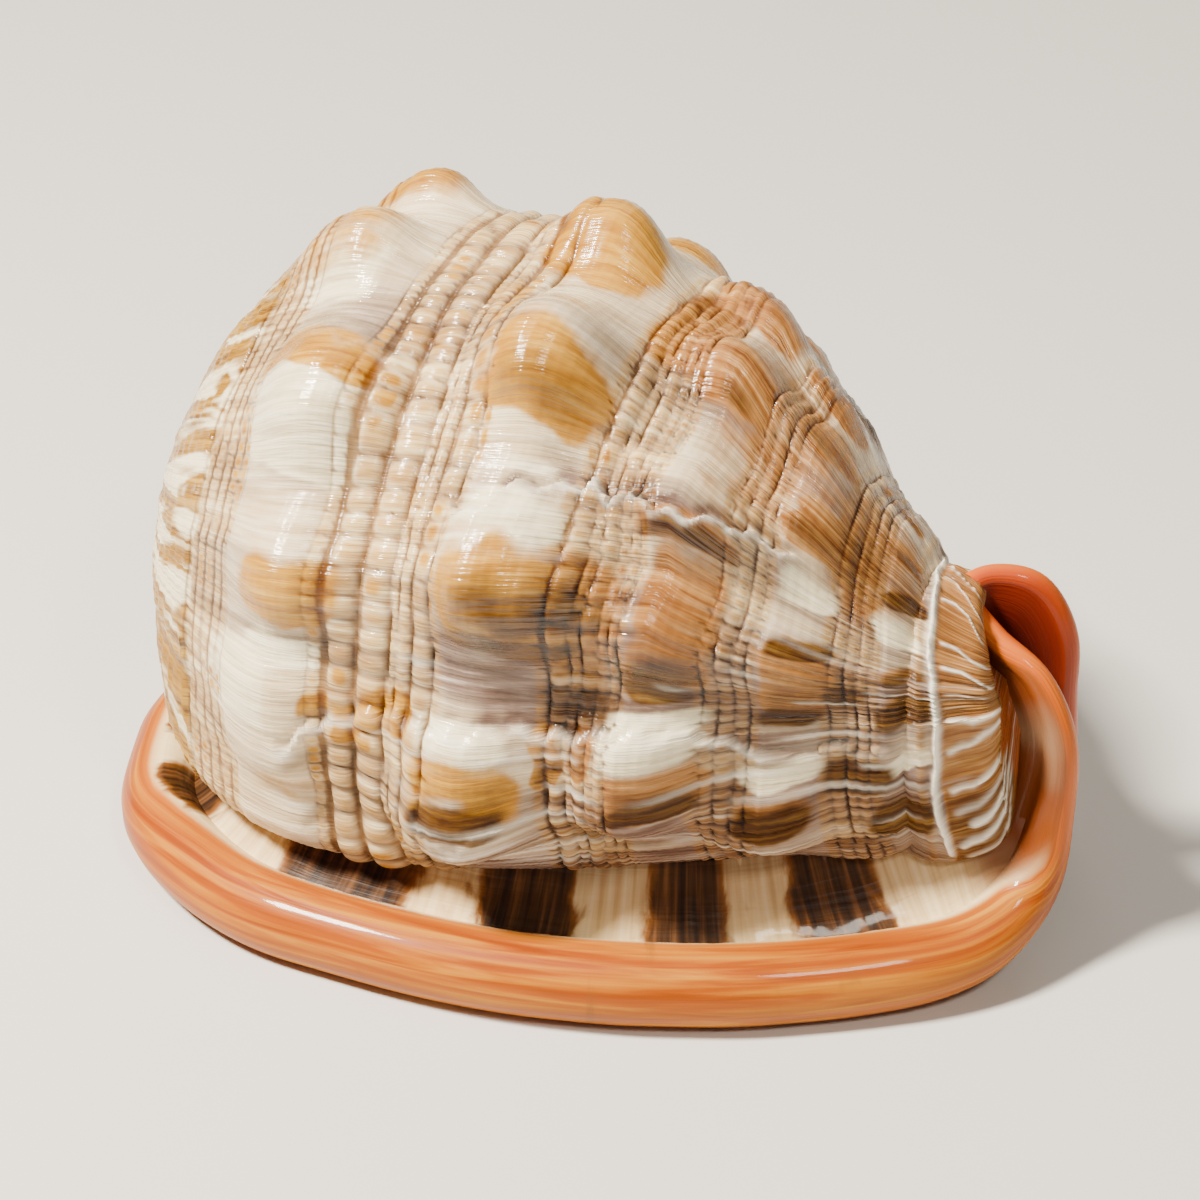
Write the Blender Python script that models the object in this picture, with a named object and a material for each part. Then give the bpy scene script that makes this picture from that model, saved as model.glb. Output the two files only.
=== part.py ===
"""Bullmouth helmet shell, resting on its open side: +X points to the canal, -Y to the outer lip, +Z up."""

from math import cos, log, pi, radians, sin

import bpy
import numpy as np

# All lengths below are in millimetres and all angles in degrees, until the meshes are made in metres.
TO_METRES = 0.001

# The coiling axis of the body whorl runs along X at this Y and Z.
AXIS_Y = 2.0
AXIS_Z = 46.0

# Body whorl from the tip of the spire to the border of the band behind the canal: X, radius at the top, reach below.
BODY_PROFILE = (
    (-73.0, 0.5, 0.5), (-71.0, 5.0, 5.0), (-68.5, 11.0, 11.0), (-65.0, 19.0, 18.5), (-60.0, 29.5, 29.0),
    (-53.5, 39.0, 35.0), (-45.0, 46.0, 38.5), (-34.0, 50.0, 39.5), (-20.0, 51.5, 39.5), (-5.0, 51.0, 39.0),
    (8.0, 48.0, 36.5), (20.0, 42.5, 34.5), (31.0, 34.5, 33.5), (41.0, 25.2, 33.0), (49.5, 16.8, 33.0),
    (56.0, 12.3, 33.0), (60.2, 10.2, 31.5), (61.0, 8.2, 25.0), (60.0, 5.0, 13.0), (59.0, 0.5, 1.0),
)
# Width towards the outer lip and towards the far side, as shares of the radius at the top, and the same near the
# canal.
SHARE_NEAR = 0.975
SHARE_NEAR_CANAL = 1.14
SHARE_FAR = 0.86
SHARE_FAR_CANAL = 1.02
# Powers below 1 make the lower half squarer than an ellipse.
LOWER_NEAR = 0.6
LOWER_FAR = 0.8
# The spiral rows move along X as they turn towards the lip, in millimetres per radian: at the back, middle, canal.
DRIFT_BACK = -2.5
DRIFT_MIDDLE = 0.6
DRIFT_CANAL = 4.5

# Knobs in five rows: X, angle, height, half length along X, half length around.
KNOBS = (
    (-34, -104, 3.0, 9, 9), (-34, -78, 3.5, 9, 9), (-35, -50, 3.5, 9, 9), (-37, -18, 6.0, 8, 8),
    (-38, 9, 7.0, 9, 8), (-30, 40, 7.0, 10, 11), (-29.5, 69, 5.0, 9, 9), (-33, 92, 3.5, 9, 9),
    (0, -86, 3.5, 9, 9), (-1, -48, 4.5, 9, 9), (-2.5, -10, 7.5, 9, 9), (0.5, 25, 8.0, 10, 10),
    (5, 62, 8.0, 11, 11), (-0.5, 100, 6.0, 11, 10),
    (22, -80, 2.5, 7, 7), (21, -52, 3.0, 7, 7), (20, -22, 4.5, 8, 7), (24, 7, 4.5, 8, 7), (24.5, 41, 4.5, 8, 7),
    (26, 66, 4.5, 8, 7), (23, 95, 5.0, 8, 8),
    (34, -48, 2.0, 6, 6), (34, -18, 3.0, 6, 6), (36.5, 7, 3.0, 6, 6), (38.7, 30, 3.0, 6, 6), (38.5, 70, 3.0, 6, 6),
    (36, 108, 3.5, 6, 7),
    (46, 2, 1.2, 5, 5), (50, 37, 1.5, 5, 6), (50, 79, 1.5, 5, 6), (49, 106, 1.5, 5, 6),
)
# Swellings of the body just above the gutter, given like the knobs.
SWELLINGS = ((-41, 119, 4.5, 13, 15), (-22, 122, 3.5, 14, 14))

# The spire: radius where its last seam crosses straight up, growth per turn and bulge of a turn.
SPIRE_RADIUS = 25.0
SPIRE_GROWTH = 1.75
SPIRE_BULGE = 2.6
ROW_RIDGES = ((-31, 1.0, 6.0), (1, 1.0, 6.0), (24, 0.8, 5.0), (37, 0.6, 4.0), (54, 1.2, 1.6))

# Rolled rim, going from the back of the shell along the outer lip, up and over the canal and back along the
# inner shield: centre of the roll, radius, end of the gutter inside the body, edge of the mouth, outward direction.
RIM = (
    ((-67.5, 8.0, 8.0), 5.8, (-55, 6, 24), (-56, 2, 8), (-1, 0, 0)),
    ((-67.5, -8.0, 7.0), 6.0, (-54, -7, 22), (-55, -2.5, 8), (-1, -0.1, 0)),
    ((-66.0, -23.5, 6.6), 6.2, (-53, -18, 20), (-53, -6, 7), (-1, -0.4, 0)),
    ((-57.2, -40.8, 6.3), 6.3, (-46, -30, 19), (-46, -8, 6), (-0.7, -0.8, 0)),
    ((-38.0, -51.5, 6.3), 6.3, (-34, -38, 19), (-34, -9.7, 5), (-0.3, -1, 0)),
    ((-15.0, -52.6, 6.3), 6.3, (-14, -40, 19), (-16, -10.2, 5), (0, -1, 0)),
    ((10.0, -49.3, 6.3), 6.3, (8, -37, 19), (8, -10.2, 5), (0.2, -1, 0)),
    ((36.0, -40.0, 6.3), 6.3, (30, -28, 19), (32, -9.2, 5), (0.4, -1, 0)),
    ((57.0, -27.3, 6.4), 6.2, (46, -17, 21), (51, -7, 7), (0.6, -0.8, 0)),
    ((69.0, -17.0, 8.0), 5.6, (54, -6, 26), (60, -3.5, 12), (0.85, -0.5, -0.1)),
    ((74.5, -7.0, 14.0), 4.6, (61, 0, 30), (64, 1, 20), (1, -0.2, -0.2)),
    ((75.6, -2.0, 26.0), 3.4, (60, 2, 34), (65, 4, 29), (1, 0, 0)),
    ((75.5, -1.5, 38.0), 2.6, (60, 3, 40), (65, 5, 39), (1, 0, 0.2)),
    ((71.0, -0.5, 47.0), 2.2, (58, 4, 44), (63, 5, 43.5), (0.7, 0, 0.7)),
    ((63.5, 1.0, 51.5), 1.9, (56, 4, 46), (60.5, 5, 46), (0.3, 0, 1)),
    ((57.5, 4.5, 55.0), 1.8, (53, 5, 47), (59, 5.5, 47), (0, 0, 1)),
    ((60.0, 8.0, 57.0), 1.8, (54, 7, 46), (60, 6, 46), (0.2, 0, 1)),
    ((66.5, 10.5, 55.5), 2.1, (55, 8, 43), (62.5, 6, 43.5), (0.7, 0.1, 0.8)),
    ((70.9, 11.5, 47.5), 2.3, (54, 9, 39), (64, 7, 39), (1, 0.1, 0.2)),
    ((71.4, 12.3, 36.0), 2.5, (52, 11, 35), (64, 8, 30), (1, 0.2, 0)),
    ((71.0, 14.5, 24.0), 3.2, (50, 13, 31), (62, 8, 20), (1, 0.3, -0.1)),
    ((67.5, 21.0, 13.0), 4.4, (46, 14, 29), (57, 6, 12), (0.9, 0.6, -0.1)),
    ((57.0, 31.0, 7.5), 5.2, (38, 18.5, 24.5), (48, 4, 7), (0.6, 0.8, 0)),
    ((37.0, 40.0, 5.6), 5.6, (28, 27.5, 21.5), (30, 3, 5), (0.3, 1, 0)),
    ((12.0, 45.5, 5.6), 5.6, (7, 35, 21), (8, 2.5, 5), (0.1, 1, 0)),
    ((-14.0, 47.0, 5.6), 5.6, (-14, 37, 21), (-14, 2, 5), (0, 1, 0)),
    ((-38.0, 43.5, 5.6), 5.6, (-33, 33, 21), (-33, 2, 5), (-0.3, 1, 0)),
    ((-56.0, 34.0, 6.2), 5.8, (-46, 25, 22), (-46, 2, 6), (-0.75, 0.7, 0)),
    ((-65.5, 22.0, 7.2), 5.8, (-53, 16, 23), (-53, 2, 7), (-1, 0.3, 0)),
)

# The room inside the last turn and the slit under it: X, near and far side of the slit, then the middle in Y and Z,
# half width and half height of the room.
HOLLOW = (
    (-53.0, -3.0, 1.5, -4.0, 36.0, 5.0, 12.0), (-48.0, -6.3, 1.5, -7.0, 42.0, 17.0, 24.0),
    (-38.0, -8.8, 1.8, -8.0, 47.0, 29.0, 34.0), (-20.0, -9.5, 1.8, -8.0, 50.0, 34.0, 38.0),
    (0.0, -9.5, 2.0, -8.0, 49.0, 33.0, 37.0), (20.0, -8.8, 2.2, -6.0, 46.0, 26.0, 31.0),
    (38.0, -7.5, 2.8, -3.0, 42.0, 15.0, 19.0), (50.0, -5.0, 3.8, 0.0, 34.0, 6.0, 9.0),
    (58.0, -2.5, 5.5, 1.5, 24.0, 4.2, 4.0), (66.0, 1.0, 7.5, 4.2, 20.0, 3.4, 3.0), (84.0, 1.0, 7.5, 4.2, 20.0, 3.4, 3.0),
)
# Floor of the canal: middle of a tube and its radius.
CANAL_FLOOR = (
    (40.0, 4.0, 34.0, 9.0), (52.0, 5.0, 36.0, 8.5), (59.0, 5.8, 39.0, 6.0), (60.8, 6.0, 43.0, 4.2),
    (59.8, 6.0, 47.5, 3.2), (57.8, 5.6, 51.5, 2.2), (57.0, 5.2, 54.0, 1.3),
)

# Teeth along the outer lip and folds along the inner shield: number, depth.
TEETH = 23
TOOTH_DEPTH = 2.2
FOLDS = 17
FOLD_DEPTH = 1.4

# Middle of the shell and the height at which the lowest parts of the rim are worn flat; this point becomes 0, 0, 0.
MIDDLE_X = 2.9
MIDDLE_Y = -3.3
REST = 0.55

SHELL_COLOUR = (0.62, 0.46, 0.33)

# How finely the surfaces are divided.
BODY_STEPS = 48
BODY_TURNS = 47


def spline(points, places):
    """Points on a smooth open curve through the given ones, at places from 0 to 1."""
    given = np.asarray(points, float)
    count = len(given)
    places = np.clip(np.asarray(places, float), 0, 1) * (count - 1)
    start = np.minimum(places.astype(int), count - 2)
    part = (places - start)[:, None]
    padded = np.vstack([2 * given[0] - given[1], given, 2 * given[-1] - given[-2]])
    before, here, there, beyond = (padded[start + step] for step in range(4))
    return 0.5 * (
        2 * here
        + (there - before) * part
        + (2 * before - 5 * here + 4 * there - beyond) * part**2
        + (3 * here - 3 * there + beyond - before) * part**3
    )


def ring_spline(points, places):
    """Points on a smooth closed curve, at places counted in given points."""
    given = np.asarray(points, float)
    count = len(given)
    start = np.floor(places).astype(int)
    part = (places - start)[:, None]
    before, here, there, beyond = (given[(start + step) % count] for step in (-1, 0, 1, 2))
    return 0.5 * (
        2 * here
        + (there - before) * part
        + (2 * before - 5 * here + 4 * there - beyond) * part**2
        + (3 * here - 3 * there + beyond - before) * part**3
    )


def ease(low, high, value):
    """0 below low, 1 above high and smooth between them."""
    share = np.clip((value - low) / (high - low), 0, 1)
    return share * share * (3 - 2 * share)


def unit(vectors):
    return vectors / np.linalg.norm(vectors, axis=-1, keepdims=True)


def drift(x, turn):
    per_radian = DRIFT_MIDDLE + (DRIFT_CANAL - DRIFT_MIDDLE) * ease(20, 55, x)
    per_radian = per_radian + (DRIFT_BACK - DRIFT_MIDDLE) * (1 - ease(-55, -30, x))
    below = ease(radians(125), pi, np.abs(turn))
    return turn * np.where(turn > 0, 1.0, 0.4) * (1 - below) * per_radian * ease(-73, -60, x)


def spire_relief(turn, radius):
    """Rounded turns of the spire, parted by a spiral seam."""
    winding = np.log(np.maximum(radius, 0.5) / SPIRE_RADIUS) / log(SPIRE_GROWTH) - turn / (2 * pi)
    part = winding - np.floor(winding)
    return SPIRE_BULGE * (np.sin(pi * part) ** 0.6 - 0.6) * ease(3, 9, radius) * (1 - ease(-1, 0.0, winding))


def relief(x, turn, radius):
    """Height of the knobs and their rows over the smooth body."""
    height = np.zeros(np.broadcast(x, turn).shape)
    fade = ease(-150, -110, np.degrees(turn)) * (1 - ease(112, 128, np.degrees(turn)))
    for row_x, row_height, half in ROW_RIDGES:
        height += row_height * np.exp(-(((x - row_x) / half) ** 2))
    for knob_x, angle, knob_height, along, around in KNOBS:
        across = (x - knob_x) / along
        about = (turn - radians(angle)) * radius / around
        height += knob_height * np.exp(-((across**2 + about**2) ** 1.3))
    height = height * fade + spire_relief(turn, radius)
    for swell_x, angle, swell_height, along, around in SWELLINGS:
        across = (x - swell_x) / along
        about = (turn - radians(angle)) * radius / around
        height += swell_height * np.exp(-(across**2 + about**2))
    return height


def body_places():
    """Places along the profile, evenly spaced but closer together near the band behind the canal."""
    fine = np.linspace(0, 1, 2000)
    curve = spline(BODY_PROFILE, fine)
    steps = np.linalg.norm(np.diff(curve[:, :2], axis=0), axis=1)
    steps = steps * (1 + 1.2 * ((curve[1:, 0] > 50) & (curve[1:, 1] > 9)))
    run = np.concatenate([[0], np.cumsum(steps)])
    return np.interp(np.linspace(0, run[-1], BODY_STEPS), run, fine)


def body_turns():
    """Angles around the body, closer together where it is seen than underneath."""
    seen = np.linspace(radians(-125), radians(140), BODY_TURNS - 8)
    below = np.linspace(radians(140), radians(235), 10)[1:-1]
    return np.concatenate([seen, below])[None, :]


def body_points(places, turn):
    """Points of the body at places from 0 to 1 along its profile and at turns from straight up."""
    profile = spline(BODY_PROFILE, places)
    x, radius, reach = (profile[:, column : column + 1] for column in range(3))
    turn = np.where(turn > pi, turn - 2 * pi, turn)
    near = turn > 0
    lower = np.abs(turn) > pi / 2
    round_part = 1 - ease(-70, -56, x)
    canal_end = ease(36, 56, x)
    near_share = SHARE_NEAR + (SHARE_NEAR_CANAL - SHARE_NEAR) * canal_end
    share = np.where(near, near_share, SHARE_FAR + (SHARE_FAR_CANAL - SHARE_FAR) * canal_end)
    share = share + (1 - share) * round_part
    power = np.where(near, LOWER_NEAR, LOWER_FAR)
    power = np.where(lower, power + (1 - power) * round_part, 1.0)
    side = radius * share * np.sign(turn) * np.abs(np.sin(turn)) ** power
    up = np.where(lower, reach, radius) * np.sign(np.cos(turn)) * np.abs(np.cos(turn)) ** power
    length = np.hypot(side, up)
    scale = 1 + relief(x, turn, radius) / np.maximum(length, 1)
    return np.stack([x + drift(x, turn), AXIS_Y - side * scale, AXIS_Z + up * scale], axis=-1)


def tooth_height(mouth_x, places):
    """Teeth on the side of the outer lip and lower folds on the other side, from X along the mouth."""
    near = (mouth_x + 52) / 110
    far = (mouth_x + 50) / 102
    teeth = 0.5 - 0.5 * np.cos(2 * pi * TEETH * near)
    folds = 0.5 - 0.5 * np.cos(2 * pi * FOLDS * far)
    teeth = teeth * TOOTH_DEPTH * ((near > 0) & (near < 1) & (places < 11))
    return teeth + folds * FOLD_DEPTH * ((far > 0) & (far < 1) & (places > 20))


def rim_loops(places):
    """Cross-sections of the lip at these places, as an array of loops of points."""
    centre = ring_spline([entry[0] for entry in RIM], places)
    radius = ring_spline([[entry[1]] for entry in RIM], places)
    gutter_end = ring_spline([entry[2] for entry in RIM], places)
    mouth = ring_spline([entry[3] for entry in RIM], places)
    outward = unit(ring_spline([unit(np.array(entry[4], float)) for entry in RIM], places))
    ahead = ring_spline([entry[0] for entry in RIM], (places + 0.02) % len(RIM))
    along = unit(ahead - centre)
    outward = unit(outward - along * np.sum(outward * along, axis=1, keepdims=True))
    back = np.cross(outward, along)
    tooth = tooth_height(mouth[:, :1], places[:, None])
    loop = []
    inner_top = centre + radius * (outward * sin(radians(-62)) + back * cos(radians(-62)))
    low = inner_top + (gutter_end - inner_top) * 0.5 - back * np.linalg.norm(
        gutter_end - inner_top, axis=1, keepdims=True
    ) * 0.16
    for part in (0.0, 0.3, 0.65):
        loop.append((1 - part) ** 2 * gutter_end + 2 * part * (1 - part) * low + part**2 * inner_top)
    for angle in (-62, -28, 8, 46, 86, 124, 156, 188):
        loop.append(centre + radius * (outward * sin(radians(angle)) + back * cos(radians(angle))))
    bottom = loop[-1]
    width = np.linalg.norm(mouth - bottom, axis=1, keepdims=True)
    inside = unit(mouth - centre - back * np.sum((mouth - centre) * back, axis=1, keepdims=True))
    thick = 0.6 + 2.4 * ease(10, 28, width)
    ridge = 0.5 * (mouth + gutter_end) + (mouth + back * 6.6 - inside * 0.5 - 0.5 * (mouth + gutter_end)) * ease(10, 28, width)
    for part, share in ((0.3, 0.0), (0.6, 0.0), (0.85, 0.4)):
        loop.append(bottom + (mouth - bottom) * part - back * tooth * share)
    loop.append(mouth - back * tooth * 0.5 + inside * tooth * 0.5)
    loop.append(mouth + inside * (thick * 0.25 + tooth) + back * thick * 0.8)
    loop.append(ridge)
    loops = np.stack(loop, axis=1)
    loops[..., 2] = np.maximum(loops[..., 2], REST)
    return loops


def hollow_loops():
    """Cross-sections of the room inside the last turn with the slit under it, from the back to the canal."""
    loops = []
    for x, near, far, middle_y, middle_z, half_width, half_height in HOLLOW:
        loop = [(x, near, -4.0), (x, near, 13.0 if x < 55 else middle_z - half_height)]
        for angle in range(160, -161, -32):
            turn = radians(angle)
            loop.append((x, middle_y - half_width * sin(turn), middle_z + half_height * cos(turn)))
        loop += [(x, far, 13.0 if x < 55 else middle_z - half_height), (x, far, -4.0)]
        loops.append(loop[::-1])
    return np.array(loops)


def tube_loops(path, sides):
    """Round cross-sections along a path of (X, Y, Z, radius)."""
    path = np.asarray(path, float)
    loops = []
    for spot, (x, y, z, radius) in enumerate(path):
        ahead = path[min(spot + 1, len(path) - 1), :3]
        behind = path[max(spot - 1, 0), :3]
        along = unit(ahead - behind)
        up = unit(np.cross(along, (0, 1, 0)))
        angles = np.linspace(0, 2 * pi, sides, endpoint=False)[:, None]
        loops.append(np.array((x, y, z)) + radius * (np.sin(angles) * up + np.cos(angles) * np.array((0, 1, 0))))
    return np.array(loops)


def rim_places():
    """Places along the lip: two to each tooth and fold, and a few between."""
    fine = np.linspace(0, len(RIM), 3000)
    mouth_x = ring_spline([entry[3] for entry in RIM], fine)[:, 0]
    near = (fine > 1.5) & (fine < 9.2)
    teeth = np.interp(np.linspace(-52, 58, 2 * TEETH + 1), mouth_x[near], fine[near])
    far = (fine > 21.2) & (fine < 28)
    folds = np.interp(np.linspace(-50, 52, 2 * FOLDS + 1), mouth_x[far][::-1], fine[far][::-1])[::-1]
    canal = np.linspace(teeth[-1], folds[0], 30)[1:-1]
    back = np.linspace(folds[-1], teeth[0] + len(RIM), 13)[1:-1] % len(RIM)
    return np.sort(np.concatenate([teeth, canal, folds, back]))


def tube_mesh(name, loops, closed_ring):
    """A mesh through loops of points: a closed ring, or a tube with a middle point in each end."""
    count, size = loops.shape[:2]
    points = loops.reshape(-1, 3)
    faces = []
    for step in range(count if closed_ring else count - 1):
        here = step * size
        there = (step + 1) % count * size
        for spot in range(size):
            beside = (spot + 1) % size
            faces.append((here + spot, here + beside, there + beside, there + spot))
    if not closed_ring:
        ends = (loops[0].mean(axis=0), loops[-1].mean(axis=0))
        points = np.vstack([points, ends])
        first = count * size
        last = (count - 1) * size
        for spot in range(size):
            beside = (spot + 1) % size
            faces.append((first, beside, spot))
            faces.append((first + 1, last + spot, last + beside))
    mesh = bpy.data.meshes.new(name)
    placed = (points - (MIDDLE_X, MIDDLE_Y, REST)) * TO_METRES
    mesh.from_pydata(placed.tolist(), [], faces)
    mesh.validate()
    made = bpy.data.objects.new(name, mesh)
    bpy.context.scene.collection.objects.link(made)
    return made


def combine(first, second, operation):
    """Joins or cuts the first object with the second one, which is then removed."""
    change = first.modifiers.new("combine", "BOOLEAN")
    change.object = second
    change.operation = operation
    change.solver = "MANIFOLD"
    graph = bpy.context.evaluated_depsgraph_get()
    changed = bpy.data.meshes.new_from_object(first.evaluated_get(graph))
    first.modifiers.clear()
    first.data = changed
    bpy.data.objects.remove(second)


def shell_material():
    """Pale orange-cream, glazed shell."""
    material = bpy.data.materials.new("shell")
    material.use_nodes = True
    surface = material.node_tree.nodes["Principled BSDF"]
    surface.inputs["Base Color"].default_value = (*SHELL_COLOUR, 1.0)
    surface.inputs["Roughness"].default_value = 0.35
    return material


for old in list(bpy.data.objects):
    bpy.data.objects.remove(old)

body = tube_mesh("shell", body_points(body_places(), body_turns()), False)
combine(body, tube_mesh("hollow", hollow_loops(), False), "DIFFERENCE")
combine(body, tube_mesh("lip", rim_loops(rim_places()), True), "UNION")
combine(body, tube_mesh("floor", tube_loops(CANAL_FLOOR, 12), False), "UNION")
body.data.shade_smooth()
body.data.set_sharp_from_angle(angle=radians(50))
body.data.materials.append(shell_material())
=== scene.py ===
# Bullmouth helmet shell, dressed. +X runs to the canal, -Y to the outer lip and +Z up. Lengths are in
# millimetres until the meshes are made.
from math import cos, log, pi, radians, sin

import bpy
import numpy as np
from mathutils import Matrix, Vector


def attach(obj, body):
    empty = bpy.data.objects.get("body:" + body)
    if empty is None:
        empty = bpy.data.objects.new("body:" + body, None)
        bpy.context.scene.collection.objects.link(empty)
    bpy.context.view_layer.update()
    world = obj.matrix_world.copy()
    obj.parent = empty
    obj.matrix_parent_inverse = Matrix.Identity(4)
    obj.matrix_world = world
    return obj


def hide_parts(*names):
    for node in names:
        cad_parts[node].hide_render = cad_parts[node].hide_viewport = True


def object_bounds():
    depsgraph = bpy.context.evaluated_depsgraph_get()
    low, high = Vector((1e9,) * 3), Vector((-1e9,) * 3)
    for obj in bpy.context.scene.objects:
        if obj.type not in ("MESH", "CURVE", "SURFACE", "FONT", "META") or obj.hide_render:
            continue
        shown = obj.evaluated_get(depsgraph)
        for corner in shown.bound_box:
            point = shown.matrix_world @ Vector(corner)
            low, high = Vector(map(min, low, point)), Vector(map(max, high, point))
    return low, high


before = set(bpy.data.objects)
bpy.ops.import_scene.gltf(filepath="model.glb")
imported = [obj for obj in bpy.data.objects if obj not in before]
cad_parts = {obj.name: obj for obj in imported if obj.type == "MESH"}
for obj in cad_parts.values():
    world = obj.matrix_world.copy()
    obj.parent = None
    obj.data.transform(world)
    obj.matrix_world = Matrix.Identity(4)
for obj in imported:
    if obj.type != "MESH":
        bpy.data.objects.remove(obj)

cadBounds = [list(corner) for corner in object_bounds()]

place = {
    "middle": (2.9, -3.3, 0.55),  # this point of the drawing becomes 0, 0, 0
    "metres": 0.001,
}

# The body whorl: profile as X, radius at the top and reach below, around an axis along X.
whorl = {
    "axisY": 2,
    "axisZ": 46,
    "profile": (
        (-73, 0.5, 0.5), (-71, 5, 5), (-68.5, 11, 11), (-65, 19, 18.5), (-60, 29.5, 29),
        (-53.5, 39, 35), (-45, 46, 38.5), (-34, 50, 39.5), (-20, 51.5, 39.5),
        (-5, 51, 39),
        (8, 48, 36.5), (20, 42.5, 34.5), (31, 34.5, 33.5), (41, 25.2, 33), (49.5, 16.8, 33),
        (56, 12.3, 33), (60.2, 10.2, 31.5), (61, 8.2, 25), (60, 5, 13), (59, 0.5, 1),
    ),
    "shareNear": 0.975,
    "shareNearCanal": 1.14,
    "shareFar": 0.86,
    "shareFarCanal": 1.02,
    "lowerNear": 0.6,
    "lowerFar": 0.8,
    "driftBack": -2.5,
    "driftMiddle": 0.6,
    "driftCanal": 4.5,
    "rows": 320,
    "nearColumns": 186,
    "farColumns": 56,
    "underColumns": 10,
}

# Knobs: X, angle from straight up, height, half length along X, half length around.
knobs = (
    (-34, -104, 3, 9, 9), (-34, -78, 3.5, 9, 9), (-35, -50, 3.5, 9, 9), (-37, -18, 6, 8, 8),
    (-38, 9, 7, 9, 8), (-30, 40, 7, 10, 11), (-29.5, 69, 5, 9, 9), (-33, 92, 3.5, 9, 9),
    (0, -86, 3.5, 9, 9), (-1, -48, 4.5, 9, 9), (-2.5, -10, 7.5, 9, 9), (0.5, 25, 8, 10, 10),
    (5, 62, 8, 11, 11), (-0.5, 100, 6, 11, 10),
    (22, -80, 2.5, 7, 7), (21, -52, 3, 7, 7), (20, -22, 4.5, 8, 7), (24, 7, 4.5, 8, 7),
    (24.5, 41, 4.5, 8, 7),
    (26, 66, 4.5, 8, 7), (23, 95, 5, 8, 8),
    (34, -48, 2, 6, 6), (34, -18, 3, 6, 6), (36.5, 7, 3, 6, 6), (38.7, 30, 3, 6, 6),
    (38.5, 70, 3, 6, 6),
    (36, 108, 3.5, 6, 7),
    (46, 2, 1.2, 5, 5), (50, 37, 1.5, 5, 6), (50, 79, 1.5, 5, 6), (49, 106, 1.5, 5, 6),
)
rowRidges = ((-31, 1, 6), (1, 1, 6), (24, 0.8, 5), (37, 0.6, 4))
swellings = ((-41, 119, 4.5, 13, 15), (-22, 122, 3.5, 14, 14))
spire = {"radius": 25, "growth": 1.75, "bulge": 2.6}

# Spiral cords between the rows of knobs: X, width, height, beads for each long bead.
cords = (
    (-45.4, 1.4, 0.30, 2), (-43.7, 1.4, 0.32, 2), (-42, 1.3, 0.34, 2), (-40.3, 1.3, 0.30, 2),
    (-38.9, 1, 0.2, 2),
    (-24.6, 1.8, 0.45, 2), (-20.5, 4.2, 1.35, 1), (-15, 5, 1.7, 1), (-11.6, 1.2, 0.6, 2),
    (-9.8, 2.1, 0.9, 2), (-6.5, 3.4, 1.35, 1), (-4, 1.4, 0.6, 2),
    (9.8, 1.3, 0.5, 2.1), (12.2, 2.4, 1.2, 1.3), (14.1, 1.2, 0.6, 2.1), (16, 2.2, 1.15, 1.4),
    (17.8, 1.5, 0.8, 1.6),
    (19.3, 1.4, 0.8, 1.6), (20.5, 0.9, 0.45, 2.1),
    (28.4, 1.1, 0.5, 2.1), (29.7, 1.4, 0.7, 1.9), (31.3, 1.7, 0.85, 1.7), (32.9, 1.3, 0.6, 2.1),
    (34.1, 0.9, 0.4, 2.3),
    (41, 1.2, 0.45, 2), (42.5, 1.6, 0.6, 2), (44, 1.2, 0.5, 2), (45.4, 1.4, 0.55, 2),
    (46.7, 1.1, 0.4, 2),
    (51.6, 1.2, 0.3, 2),
)
# Grooved zones that hold the cords: from X, to X.
cordZones = ((-46.5, -38.2), (-25.8, -3.4), (9.2, 20.8), (28, 34.6), (40.4, 47.4))
beads = {"short": 2.5, "long": 4.3, "from": 7, "to": 40, "jitter": 0.22}  # in mm around the shell

# Old lip edges left by rests in growth: (X, angle) points, height of the step.
scars = (
    (
        ((-4, 52), (0, 50), (1, 46.6), (3, 44.8), (7, 45), (9, 43.3), (12, 41), (14, 42.5),
        (21.5, 42.7), (26, 42),
         (31, 40.3), (36, 39.5)), 2.1,
    ),
    (
        ((-29, 93), (-14, 89), (-5, 88.6), (0, 86.7), (10, 86.9), (19, 86.3), (24, 84.7), (28.5, 86.3),
        (32, 90),
         (37, 91.2), (48.5, 91.8)), 0.9,
    ),
    (((-34, 30), (-28, 31), (-20, 33)), 0.25),
    (((-2, 55), (5, 53.6), (12, 54)), 0.35),
    (((-7, 97), (0, 99.5), (7, 97)), 0.4),
)
# White crest that borders the last band, and the raised edges that cross the band, each as points
# (mm past the crest, angle) and a height.
crest = {"x": 53.7, "height": 1.1, "half": 0.5, "from": -50, "to": 124}
lamellae = (
    (((0.5, -70), (3, -66), (8, -60)), 0.5), (((0.5, -50), (3, -46), (8, -40)), 0.5),
    (((0.5, -32), (3, -30), (8, -24)), 0.5), (((0.5, -15), (3.8, -8), (7.5, 0)), 0.6),
    (((0.3, 1), (3.1, 2.5), (5.5, 10), (8, 22)), 0.6), (((1.2, 21), (3.6, 20), (5.8, 24), (7.7, 36)), 0.8),
    (((1.8, 45.5), (4.2, 46.5), (6.3, 51.8), (8.5, 55)), 0.9), (((1.8, 58.5), (4.6, 59.5), (6.8, 64),
    (8.4, 70)), 0.9),
    (((1.8, 73), (4.6, 74), (7.5, 77)), 0.4), (((1.5, 88.7), (4.9, 90), (7.1, 89.5), (8.6, 90)), 1),
    (((1.6, 92.5), (4.3, 92), (6.5, 91), (9, 90.6)), 0.7), (((1.8, 100.4), (4.9, 100), (7.1, 98.5),
    (11.5, 96.5)), 1),
    (((2, 108), (5, 107), (9, 104), (13, 101)), 0.4), (((4, 114), (6.1, 113), (9, 110), (14, 104)), 0.9),
    (((1.8, 123), (5, 121), (9, 117), (15, 110)), 0.8), (((2.5, 131), (7, 128), (12, 121), (17, 114)), 0.5),
)

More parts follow.
